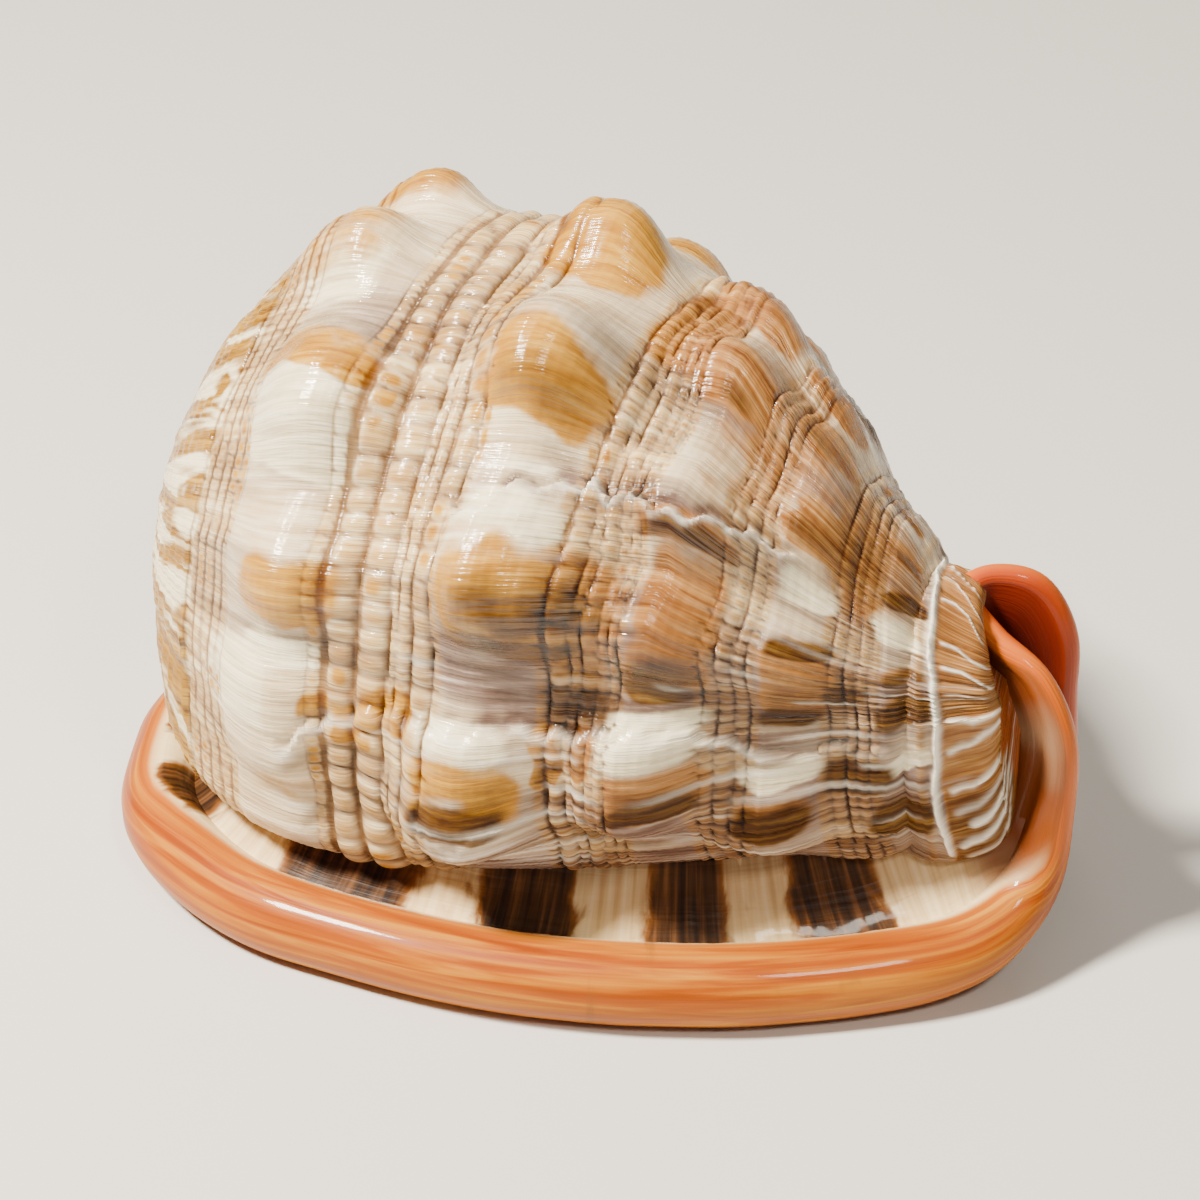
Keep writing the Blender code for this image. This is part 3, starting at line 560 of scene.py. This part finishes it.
def lipSurface(places):
    centre, gutterEnd, mouth = (ringThrough([entry[part] for entry in rim], places) for part in (0, 2, 3))
    radius = ringThrough([[entry[1]] for entry in rim], places)
    outward = unitOf(ringThrough([unitOf(np.array(entry[4], float)) for entry in rim], places))
    ahead = ringThrough([entry[0] for entry in rim], (places + 0.02) % len(rim))
    along = unitOf(ahead - centre)
    outward = unitOf(outward - along * np.sum(outward * along, axis=1, keepdims=True))
    back = np.cross(outward, along)
    teeth, folds = toothHeight(mouth[:, :1], places[:, None])
    tooth = teeth * lip["toothDepth"] + folds * lip["foldDepth"]
    run = np.concatenate([[0], np.cumsum(np.linalg.norm(np.diff(centre, axis=0), axis=1))])[:, None]
    kind = np.array(sectionKinds())[None, :]
    canalStart = 9.05 + 0.95 * ease(0.8, 1.5, kind)
    canal = ease(canalStart, canalStart + 0.9, places[:, None]) * (1 - ease(20, 21.8, places))[:, None]
    calm = 1 - canal[:, :1]

    loop = []
    innerTop = centre + radius * (outward * sin(radians(-62)) + back * cos(radians(-62)))
    wide = np.linalg.norm(gutterEnd - innerTop, axis=1, keepdims=True)
    # The gutter is hollow, but the wall beside the canal bulges.
    hollow = (0.16 - 0.34 * ease(8.8, 10.2, places) * (1 - ease(13.5, 15, places)))[:, None]
    low = innerTop + (gutterEnd - innerTop) * 0.5 - back * wide * hollow
    for part in np.linspace(0, 0.9, lip["gutterParts"]):
        wrinkle = 0.10 * wander(run, 1.4, 81) + 0.16 * wander(run, 5, 82)
        lift = back * wrinkle * calm * ease(0, 0.3, part) * (1 - ease(0.8, 1, part))
        loop.append((1 - part) ** 2 * gutterEnd + 2 * part * (1 - part) * low + part**2 * innerTop + lift)
    for step, angle in enumerate(np.linspace(-62, 188, lip["arcPoints"])):
        share = step / (lip["arcPoints"] - 1)
        notch = 0.10 * np.exp(-(((share - 0.1) / 0.08) ** 2))
        swell = 0.14 * wander(run, 9, 84) * sin(pi * share) * calm - notch
        turn = radians(angle)
        loop.append(centre + (radius + swell) * (outward * sin(turn) + back * cos(turn)))
    bottom = loop[-1]
    width = np.linalg.norm(mouth - bottom, axis=1, keepdims=True)
    inside = unitOf(mouth - centre - back * np.sum((mouth - centre) * back, axis=1, keepdims=True))
    thick = 0.6 + 2.4 * ease(10, 28, width)
    midway = 0.5 * (mouth + gutterEnd)
    ridge = midway + (mouth + back * 6.6 - inside * 0.5 - midway) * ease(10, 28, width)
    for part in np.linspace(0, 1, lip["underParts"] + 1)[1:]:
        # Teeth start a third of the way in and folds a little later, and both grow towards the mouth.
        grown = ease(0.35, 0.95, part) * 0.45
        inward = inside * tooth * 0.5 * ease(0.9, 1, part)
        loop.append(bottom + (mouth - bottom) * part - back * tooth * grown + inward)
    loop.append(mouth + inside * (thick * 0.12 + tooth * 0.95) + back * thick * 0.25)
    loop.append(mouth + inside * (thick * 0.25 + tooth) + back * thick * 0.8)
    loop.append(ridge)
    points = np.stack(loop, axis=1)
    points[..., 2] = np.maximum(points[..., 2], lip["rest"])

    count = kind.shape[1]
    # The glaze of the roll starts some way round it, most of all at the back end and along the near wall
    # of the canal.
    edge = 1.15 + 0.17 * ease(0.2, 1.2, places) * (1 - ease(2.6, 3.8, places))
    edge = (edge + 0.24 * ease(9.6, 10.6, places) * (1 - ease(13, 14, places)))[:, None]
    shown = np.where(kind < edge, kind / edge, np.where(kind < 2, 1 + (kind - edge) / (2 - edge), kind))
    uv = np.stack(np.broadcast_arrays(shown * 10.0, run), axis=-1)
    patch = np.zeros((len(places), 1))
    for middle, half in lip["patches"]:
        rough = middle + 0.05 * wander(kind * 10, 7, int(middle * 10) + 600)
        patch = np.maximum(patch, np.exp(-(((places[:, None] - rough) / half) ** 4)))
    patch = patch * (1 - ease(0.9, 1.0, shown)) + 0 * kind
    tint = np.stack([patch * (1 - canal), canal, (teeth + folds) * ease(2.3, 2.8, kind)], axis=-1)
    folded = np.stack([folds + 0 * kind, teeth + 0 * kind, np.zeros((len(places), count))], axis=-1)
    zone = np.zeros((len(places), count, 3))
    zone[..., 1] = 1.0
    return points, uv, [tint, folded, zone]


def lipPlaces():
    fine = np.linspace(0, len(rim), 6000)
    mouthX = ringThrough([entry[3] for entry in rim], fine)[:, 0]
    near = (fine > 1.5) & (fine < 9.2)
    far = (fine > 21.2) & (fine < 28)
    toothSteps = np.linspace(-52, 58, lip["samples"] * lip["teeth"] + 1)
    foldSteps = np.linspace(-50, 52, lip["samples"] * lip["folds"] + 1)
    teeth = np.interp(toothSteps, mouthX[near], fine[near])
    folds = np.interp(foldSteps, mouthX[far][::-1], fine[far][::-1])[::-1]
    canal = np.linspace(teeth[-1], folds[0], lip["canalSamples"])[1:-1]
    back = np.linspace(folds[-1], teeth[0] + len(rim), lip["backSamples"])[1:-1] % len(rim)
    return np.sort(np.concatenate([teeth, canal, folds, back]))


def roomSurface():
    sections = curveThrough(room, np.linspace(0, 1, 41))
    loops = []
    for x, near, far, middleY, middleZ, halfWidth, halfHeight in sections:
        floorZ = 13.0 if x < 55 else middleZ - halfHeight
        loop = [(x, near, -4.0), (x, near, floorZ)]
        for angle in np.linspace(160, -160, 27):
            turn = radians(angle)
            loop.append((x, middleY - halfWidth * sin(turn), middleZ + halfHeight * cos(turn)))
        loop += [(x, far, floorZ), (x, far, -4.0)]
        loops.append(loop[::-1])
    return np.array(loops)


def floorSurface():
    path = curveThrough(canalFloor, np.linspace(0, 1, tube["steps"]))
    loops = []
    for spot, (x, y, z, radius) in enumerate(path):
        along = unitOf(path[min(spot + 1, tube["steps"] - 1), :3] - path[max(spot - 1, 0), :3])
        up = unitOf(np.cross(along, (0, 1, 0)))
        angles = np.linspace(0, 2 * pi, tube["sides"], endpoint=False)[:, None]
        ring = np.sin(angles) * up + np.cos(angles) * np.array((0, 1, 0))
        loops.append(np.array((x, y, z)) + radius * ring)
    return np.array(loops)


def skinned(name, loops, closedRing, material, uv=None, layers=None):
    # A mesh through loops of points, with its map and tints on the corners, which survive the joining.
    count, size = loops.shape[:2]
    points = loops.reshape(-1, 3)
    steps = np.arange(count if closedRing else count - 1)[:, None]
    spots = np.arange(size)[None, :]
    here, there, beside = steps * size, (steps + 1) % count * size, (spots + 1) % size
    quads = np.stack([here + spots, here + beside, there + beside, there + spots], axis=-1).reshape(-1, 4)
    faces = quads.tolist()
    if not closedRing:
        first = count * size
        points = np.vstack([points, loops[0].mean(axis=0), loops[-1].mean(axis=0)])
        for spot in range(size):
            nextSpot = (spot + 1) % size
            faces.append((first, nextSpot, spot))
            faces.append((first + 1, (count - 1) * size + spot, (count - 1) * size + nextSpot))
    mesh = bpy.data.meshes.new(name)
    mesh.from_pydata(((points - place["middle"]) * place["metres"]).tolist(), [], faces)
    corners = np.empty(len(mesh.loops), np.int32)
    mesh.loops.foreach_get("vertex_index", corners)

    def onCorners(layer):
        values = layer.reshape(count * size, -1)
        if not closedRing:
            values = np.vstack([values, layer[0].mean(axis=0), layer[-1].mean(axis=0)])
        return values[corners].astype(np.float32).ravel()

    for spot, layerName in enumerate(("tint", "cord", "zone")):
        layer = layers[spot] if layers else np.zeros((count, size, 3))
        mesh.attributes.new(layerName, "FLOAT_VECTOR", "CORNER").data.foreach_set("vector", onCorners(layer))
    chart = np.zeros((count, size, 2)) if uv is None else uv * 0.01
    mesh.uv_layers.new(name="growthMap").uv.foreach_set("vector", onCorners(chart))
    mesh.materials.append(material)
    made = bpy.data.objects.new(name, mesh)
    bpy.context.scene.collection.objects.link(made)
    return made


def combine(first, second, operation):
    change = first.modifiers.new("combine", "BOOLEAN")
    change.object = second
    change.operation = operation
    change.solver = "MANIFOLD"
    change.material_mode = "TRANSFER"
    bpy.ops.object.select_all(action="DESELECT")
    bpy.context.view_layer.objects.active = first
    first.select_set(True)
    bpy.ops.object.modifier_apply(modifier="combine")
    bpy.data.objects.remove(second)


def paint(hexColour):
    # An sRGB hex colour as linear RGBA.
    parts = [int(hexColour[spot : spot + 2], 16) / 255 for spot in (0, 2, 4)]
    return [part / 12.92 if part <= 0.04045 else ((part + 0.055) / 1.055) ** 2.4 for part in parts] + [1.0]


def fill(tree, node, inputs):
    # Links the sockets among these inputs and sets the rest.
    for name, value in inputs.items():
        if isinstance(value, bpy.types.NodeSocket):
            tree.links.new(value, node.inputs[name])
        else:
            node.inputs[name].default_value = value


def addNode(tree, kind, inputs=None, output=0, ramp=None, **settings):
    # Adds a node, sets it, links the sockets given among its inputs and returns one of its outputs.
    node = tree.nodes.new("ShaderNode" + kind)
    for name, value in settings.items():
        setattr(node, name, value)
    fill(tree, node, inputs or {})
    if ramp:
        stops = node.color_ramp.elements
        while len(stops) < len(ramp):
            stops.new(1.0)
        for stop, (position, value) in zip(stops, ramp):
            stop.position = position
            stop.color = paint(value) if isinstance(value, str) else (value, value, value, 1)
    return node.outputs[output]


# Settings of a Mix node for colours: input 0 is the share, 6 the colour under and 7 the one over.
colourMix = {"output": 2, "data_type": "RGBA"}
gentle = {"interpolation_type": "SMOOTHSTEP"}


def newMaterial(name):
    material = bpy.data.materials.new(name)
    material.use_nodes = True
    return material, material.node_tree, material.node_tree.nodes["Principled BSDF"]


# Noise over the growth map: cells in 100 mm along the shell and around it, detail, distortion.
grain = {
    "broad": ((8, 42, 1), 4.0, 0.7),
    "fine": ((10, 105, 1), 3.0, 0.2),
    "finest": ((9, 230, 1), 2.0, 0.0),
    "flame": ((7, 13, 1), 2.0, 1.0),
}
# Shades of the body from the darkest streaks to the lightest.
shades = {
    "ground": ((0.3, "C4A684"), (0.45, "DAC29C"), (0.57, "E8D6B4"), (0.7, "F4EAD0")),
    "duskyAndShaded": ((0.32, "44302A"), (0.46, "6C5448"), (0.57, "8E7668"), (0.7, "D4C4B6")),
    "crown": ((0.36, "A4742C"), (0.48, "CA9C4C"), (0.58, "E0C27C"), (0.68, "F4E8C0")),
    "duskyAndShadedCrown": ((0.36, "52300F"), (0.47, "845A28"), (0.57, "A88254"), (0.66, "DAC4A4")),
    "pale": ((0.32, "CCBA94"), (0.5, "EADCB8"), (0.66, "FAF2D4")),
    "tan": ((0.32, "8E5A12"), (0.46, "AE7820"), (0.56, "C08C2C"), (0.7, "D6AA52")),
    "rust": ((0.32, "623612"), (0.46, "925E2C"), (0.57, "AE7C44"), (0.7, "CEA47A")),
    "dark": ((0.32, "200C02"), (0.47, "42240A"), (0.58, "664416"), (0.7, "8C6A30")),
    "flame": ((0.36, "6A420C"), (0.5, "9C7020"), (0.64, "C09848")),
    "wall": ((0.34, "6A2E10"), (0.5, "8A4418"), (0.66, "A85E2C")),
}


# Crossed-lamellar shell with a thin natural glaze: fine growth streaks across warm blotches, glossy on
# the crowns.
def glazedShell():
    material, tree, shader = newMaterial("glazedShell")
    chart = addNode(tree, "UVMap", output="UV", uv_map="growthMap")
    split = {}
    for name in ("tint", "cord", "zone"):
        layer = addNode(tree, "Attribute", output="Vector", attribute_name=name)
        split[name] = addNode(tree, "SeparateXYZ", {0: layer}).node.outputs
    warm, dark, pale = split["tint"]
    crown, groove, white = split["cord"]
    duskAndShade, wall, ramp = split["zone"]
    noise = {}
    for name, (scale, detail, distortion) in grain.items():
        stretched = addNode(tree, "Mapping", {"Vector": chart, "Scale": scale})
        inputs = {"Vector": stretched, "Scale": 1.0, "Detail": detail, "Distortion": distortion}
        noise[name] = addNode(tree, "TexNoise", inputs)
    spot = addNode(tree, "TexCoord", output="Object")
    cloud = addNode(tree, "TexNoise", {"Vector": spot, "Scale": 60.0, "Detail": 3.0})
    speck = addNode(tree, "TexNoise", {"Vector": spot, "Scale": 260.0, "Detail": 3.0})
    streaks = addNode(tree, "Mix", {0: 0.5, 2: noise["broad"], 3: noise["fine"]})
    shade = {name: addNode(tree, "ValToRGB", {0: streaks}, ramp=stops) for name, stops in shades.items()}
    along = addNode(tree, "SeparateXYZ", {0: chart})
    right = addNode(tree, "MapRange", {0: along, 1: 0.02, 2: 0.2}, **gentle)

    # Darker mauve ground in clouds and painted shade, tan crowns on the cords.
    duskAndShadeShare = addNode(tree, "Math", {0: duskAndShade, 1: cloud}, operation="ADD")
    duskAndShadeShare = addNode(tree, "MapRange", {0: duskAndShadeShare, 1: 0.5, 2: 1.5})
    crownShade = addNode(tree, "Mix", {0: duskAndShade, 6: shade["crown"], 7: shade["duskyAndShadedCrown"]}, **colourMix)
    crownShare = addNode(tree, "Math", {0: crown, 1: 0.8}, operation="MULTIPLY")
    coats = [(duskAndShadeShare, shade["duskyAndShaded"], "MIX"), (crownShare, crownShade, "MIX")]

    # Blotches with edges frayed by the streaks: pale, then warm, then dark.
    frayed = addNode(tree, "Math", {0: noise["broad"], 1: speck}, operation="ADD")
    frayed = addNode(tree, "MapRange", {0: frayed, 1: 0.5, 2: 1.5, 3: -0.16, 4: 0.16})
    warmShade = addNode(tree, "Mix", {0: right, 6: shade["tan"], 7: shade["rust"]}, **colourMix)
    for share, low, high, over in (
        (pale, 0.3, 0.6, shade["pale"]), (warm, 0.22, 0.55, warmShade), (dark, 0.2, 0.85, shade["dark"]),
    ):
        share = addNode(tree, "Math", {0: share, 1: frayed}, operation="ADD")
        share = addNode(tree, "MapRange", {0: share, 1: low, 2: high}, **gentle)
        coats.append((share, over, "MIX"))
    flame = addNode(tree, "MapRange", {0: noise["flame"], 1: 0.39, 2: 0.5}, **gentle)
    flame = addNode(tree, "Math", {0: flame, 1: ramp}, operation="MULTIPLY")
    coats += [(flame, shade["flame"], "MIX"), (wall, shade["wall"], "MIX")]

    # Grooves between and beside the beads are darker: a mauve-brown tint and painted shade in them. Old lip
    # edges white.
    grooveTintAndShade = addNode(tree, "Math", {0: groove, 1: crown}, operation="SUBTRACT")
    grooveTintAndShade = addNode(tree, "MapRange", {0: grooveTintAndShade, 1: 0.3, 2: 1.0}, **gentle)
    grooveTintAndShadeColour = addNode(tree, "Mix", {0: duskAndShade, 6: paint("A68C70"), 7: paint("66503E")}, **colourMix)
    coats += [(grooveTintAndShade, grooveTintAndShadeColour, "MULTIPLY"), (white, paint("FBF6E6"), "MIX")]
    base = shade["ground"]
    for share, over, blend in coats:
        base = addNode(tree, "Mix", {0: share, 6: base, 7: over}, blend_type=blend, **colourMix)
    gloss = addNode(tree, "MapRange", {0: noise["fine"], 1: 0.3, 2: 0.7, 3: 0.16, 4: 0.4})
    fill(tree, shader, {"Base Color": base, "Roughness": gloss, "IOR": 1.53, "Coat Roughness": 0.07})
    # The glaze is worn off low down.
    rise = addNode(tree, "SeparateXYZ", {0: spot}, output=2)
    for name, least, most in (("Specular IOR Level", 0.06, 0.25), ("Coat Weight", 0.04, 0.5)):
        worn = addNode(tree, "MapRange", {0: rise, 1: 0.034, 2: 0.07, 3: least, 4: most})
        fill(tree, shader, {name: worn})
    # Growth lines about two tenths of a millimetre high.
    lines = addNode(tree, "Math", {0: noise["finest"], 1: noise["fine"]}, operation="ADD")
    bump = addNode(tree, "Bump", {"Height": lines, "Strength": 0.8, "Distance": 0.0003})
    fill(tree, shader, {"Normal": bump, "Coat Normal": bump})
    return material


# Colours across the lip: 0 to 0.25 is the gutter, to 0.5 the roll, to 0.75 the underside and then the mouth.
lipShades = {
    # The first stops darken the gutter towards the body: painted shade under the body's overhang.
    "across": (
        (0.0, "84664A"), (0.08, "AA8A64"), (0.17, "DCC08E"), (0.235, "F0D8A4"), (0.252, "B46414"),
        (0.29, "8A3A04"),
        (0.36, "9C4C06"), (0.42, "BC6C10"), (0.5, "904610"), (0.6, "9A4E20"), (0.7, "B06830"),
        (0.8, "CE9258"),
    ),
    # Red-orange deepening to near black at the far end: painted shade inside the canal.
    "canal": (
        (0.0, "52260E"), (0.18, "6A3212"), (0.245, "8A4414"), (0.27, "BC5810"), (0.34, "C86414"),
        (0.42, "A83E0C"),
        (0.5, "741E08"), (0.62, "460C04"), (1.0, "240602"),
    ),
    "streaky": ((0.32, "7E3402"), (0.46, "9E4C04"), (0.57, "BA720E"), (0.7, "D49828")),
    "rolled": ((0.25, 0.0), (0.27, 0.55), (0.46, 0.55), (0.6, 0.2)),
    "radial": ((0.34, "A8885E"), (0.46, "CCAE80"), (0.56, "DEC496"), (0.68, "EEDCB4")),
    # Less of the cream near the body: part of the painted shade in the gutter.
    "gutter": ((0.0, 0.3), (0.1, 0.4), (0.21, 0.4), (0.252, 0.0)),
    "patch": ((0.36, "241207"), (0.52, "40260F"), (0.68, "664022")),
    "crust": ((0.22, 0.6), (0.27, 0.0)),
}
# Noise over the lip's map: cells in ten widths of its section and in 100 mm along it, distortion.
lipGrain = {"streak": ((150, 3.2, 1), 0.5), "radial": ((6, 75, 1), 0.2), "edge": ((14, 20, 1), 0.6)}
lipFinish = {"IOR": 1.53, "Specular IOR Level": 0.12, "Coat Weight": 0.2, "Coat Roughness": 0.08}


# Polished porcelain-like lip: smooth orange glaze with streaks along the roll, cream and brown in the gutter,
# with painted shade darkening the gutter towards the body.
def lipGlaze():
    material, tree, shader = newMaterial("lipGlaze")
    chart = addNode(tree, "UVMap", output="UV", uv_map="growthMap")
    layer = addNode(tree, "Attribute", output="Vector", attribute_name="tint")
    patch, canal, crest = addNode(tree, "SeparateXYZ", {0: layer}).node.outputs
    across = addNode(tree, "SeparateXYZ", {0: chart})
    section = addNode(tree, "Math", {0: across, 1: 2.5}, operation="MULTIPLY")
    noise = {}
    for name, (scale, distortion) in lipGrain.items():
        stretched = addNode(tree, "Mapping", {"Vector": chart, "Scale": scale})
        inputs = {"Vector": stretched, "Scale": 1.0, "Detail": 4.0, "Distortion": distortion}
        noise[name] = addNode(tree, "TexNoise", inputs)
    spot = addNode(tree, "TexCoord", output="Object")
    cloud = addNode(tree, "TexNoise", {"Vector": spot, "Scale": 45.0, "Detail": 2.0})
    sources = {"streaky": noise["streak"], "radial": noise["radial"], "patch": noise["radial"]}
    shade = {}
    for name, stops in lipShades.items():
        shade[name] = addNode(tree, "ValToRGB", {0: sources.get(name, section)}, ramp=stops)
    coats = [(shade["rolled"], shade["streaky"]), (shade["gutter"], shade["radial"])]
    soft = addNode(tree, "MapRange", {0: noise["edge"], 1: 0.3, 2: 0.7, 3: -0.3, 4: 0.3})
    soft = addNode(tree, "Math", {0: patch, 1: soft}, operation="ADD")
    for low, high, over in ((0.15, 0.5, paint("7A4A1C")), (0.4, 0.75, shade["patch"])):
        share = addNode(tree, "MapRange", {0: soft, 1: low, 2: high}, **gentle)
        coats.append((share, over))

    # The canal: bright orange edges, deep red-orange inside darkening to near black as painted shade deepest
    # in, browner outside with a grey crust in places.
    crust = addNode(tree, "Math", {0: canal, 1: shade["crust"]}, operation="MULTIPLY")
    cloudy = addNode(tree, "MapRange", {0: cloud, 1: 0.5, 2: 0.66}, **gentle)
    crust = addNode(tree, "Math", {0: crust, 1: cloudy}, operation="MULTIPLY")
    coats += [(canal, shade["canal"]), (crust, paint("8A7358")), (crest, paint("EBD7B6"))]
    base = shade["across"]
    for share, over in coats:
        base = addNode(tree, "Mix", {0: share, 6: base, 7: over}, **colourMix)
    gloss = addNode(tree, "MapRange", {0: noise["streak"], 1: 0.35, 2: 0.65, 3: 0.35, 4: 0.55})
    bump = addNode(tree, "Bump", {"Height": noise["streak"], "Strength": 0.5, "Distance": 0.0004})
    fill(tree, shader, {"Base Color": base, "Roughness": gloss, "Normal": bump, **lipFinish})
    return material


# Smooth enamel inside the last turn: pale salmon, fading where the growth bands show through.
def roomEnamel():
    material, tree, shader = newMaterial("roomEnamel")
    spot = addNode(tree, "TexCoord", output="Object")
    bands = addNode(tree, "Mapping", {"Vector": spot, "Scale": (18, 60, 60)})
    cloud = addNode(tree, "TexNoise", {"Vector": bands, "Scale": 1.0, "Detail": 2.0})
    shade = addNode(tree, "ValToRGB", {0: cloud}, ramp=((0.3, "9E5F36"), (0.5, "C98F62"), (0.7, "DDB78F")))
    fill(tree, shader, {"Base Color": shade, "Roughness": 0.22})
    return material


def fitted(piece, low, high):
    # Evens out the few tenths of a millimetre by which fine relief passes the solid's box.
    points = np.empty(len(piece.data.vertices) * 3, np.float32)
    piece.data.vertices.foreach_get("co", points)
    points = points.reshape(-1, 3).astype(float)
    start, end = points.min(axis=0), points.max(axis=0)
    low, high = np.array(low) + 0.00002, np.array(high) - 0.00002
    low[2] = start[2]
    points = low + (points - start) * (high - low) / (end - start)
    piece.data.vertices.foreach_set("co", points.astype(np.float32).ravel())
    piece.data.update()


shellSkin = glazedShell()
lipSkin = lipGlaze()
roomSkin = roomEnamel()
print("materials made")

points, chart, layers = bodySurface(bodyPlaces(), bodyTurns())
shell = skinned("shellSurface", points, False, shellSkin, chart, layers)
print("body", len(shell.data.polygons))
combine(shell, skinned("room", roomSurface(), False, roomSkin), "DIFFERENCE")
points, chart, layers = lipSurface(lipPlaces())
combine(shell, skinned("lip", points, True, lipSkin, chart, layers), "UNION")
# The canal floor gets the darkest end of the canal colours: painted shade deep in the canal.
deep = np.zeros((tube["steps"], tube["sides"], 3))
deep[..., 1] = 1.0
deepChart = np.zeros((tube["steps"], tube["sides"], 2))
deepChart[..., 0] = tube["across"]
combine(shell, skinned("canalFloor", floorSurface(), False, lipSkin, deepChart, [deep, deep, deep]), "UNION")
fitted(shell, *cadBounds)
shell.data.shade_smooth()
shell.data.set_sharp_from_angle(angle=radians(60))
shell.data.calc_loop_triangles()
print("shell triangles", len(shell.data.loop_triangles))
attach(shell, "root")
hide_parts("shell")

# Plain pale floor.
bpy.ops.mesh.primitive_plane_add(size=6.0, location=(0, 0, 0))
floor = bpy.context.object
floor.name = "floor"
floorMaterial, floorTree, floorShader = newMaterial("paleFloor")
fill(floorTree, floorShader, {"Base Color": paint("CFCDC9"), "Roughness": 0.7})
floor.data.materials.append(floorMaterial)


def outFrom(azimuth, elevation):
    turn, rise = radians(azimuth), radians(elevation)
    return Vector((sin(turn) * cos(rise), -cos(turn) * cos(rise), sin(rise)))


# Soft studio light: a key from the left, a fill from the right, a faint one from behind and a pale surround.
# Azimuth, elevation, distance, size, power.
lamps = ((-48, 58, 0.9, 0.14, 32), (55, 55, 1.0, 0.14, 4), (190, 55, 1.0, 0.7, 2.5))
for azimuth, elevation, distance, size, power in lamps:
    lamp = bpy.data.lights.new("soft", "AREA")
    lamp.size = size
    lamp.energy = power
    lamp.color = (1.0, 0.91, 0.77)
    holder = bpy.data.objects.new("soft", lamp)
    holder.location = outFrom(azimuth, elevation) * distance
    holder.rotation_euler = (-holder.location).to_track_quat("-Z", "Y").to_euler()
    bpy.context.scene.collection.objects.link(holder)
world = bpy.data.worlds.new("studio")
world.use_nodes = True
surround = {"Color": paint("F4F6F8"), "Strength": 0.13}
fill(world.node_tree, world.node_tree.nodes["Background"], surround)
bpy.context.scene.world = world

# The photograph's viewing angle.
view = {"azimuth": 25, "elevation": 35, "distance": 0.48, "lookAt": (-0.0029, 0.0033, 0.03945), "lens": 92.4}
camera = bpy.data.objects.new("camera", bpy.data.cameras.new("camera"))
camera.data.lens = view["lens"]
camera.data.sensor_width = 36.0
camera.location = Vector(view["lookAt"]) + outFrom(view["azimuth"], view["elevation"]) * view["distance"]
camera.rotation_euler = (Vector(view["lookAt"]) - camera.location).to_track_quat("-Z", "Y").to_euler()
bpy.context.scene.collection.objects.link(camera)
bpy.context.scene.camera = camera
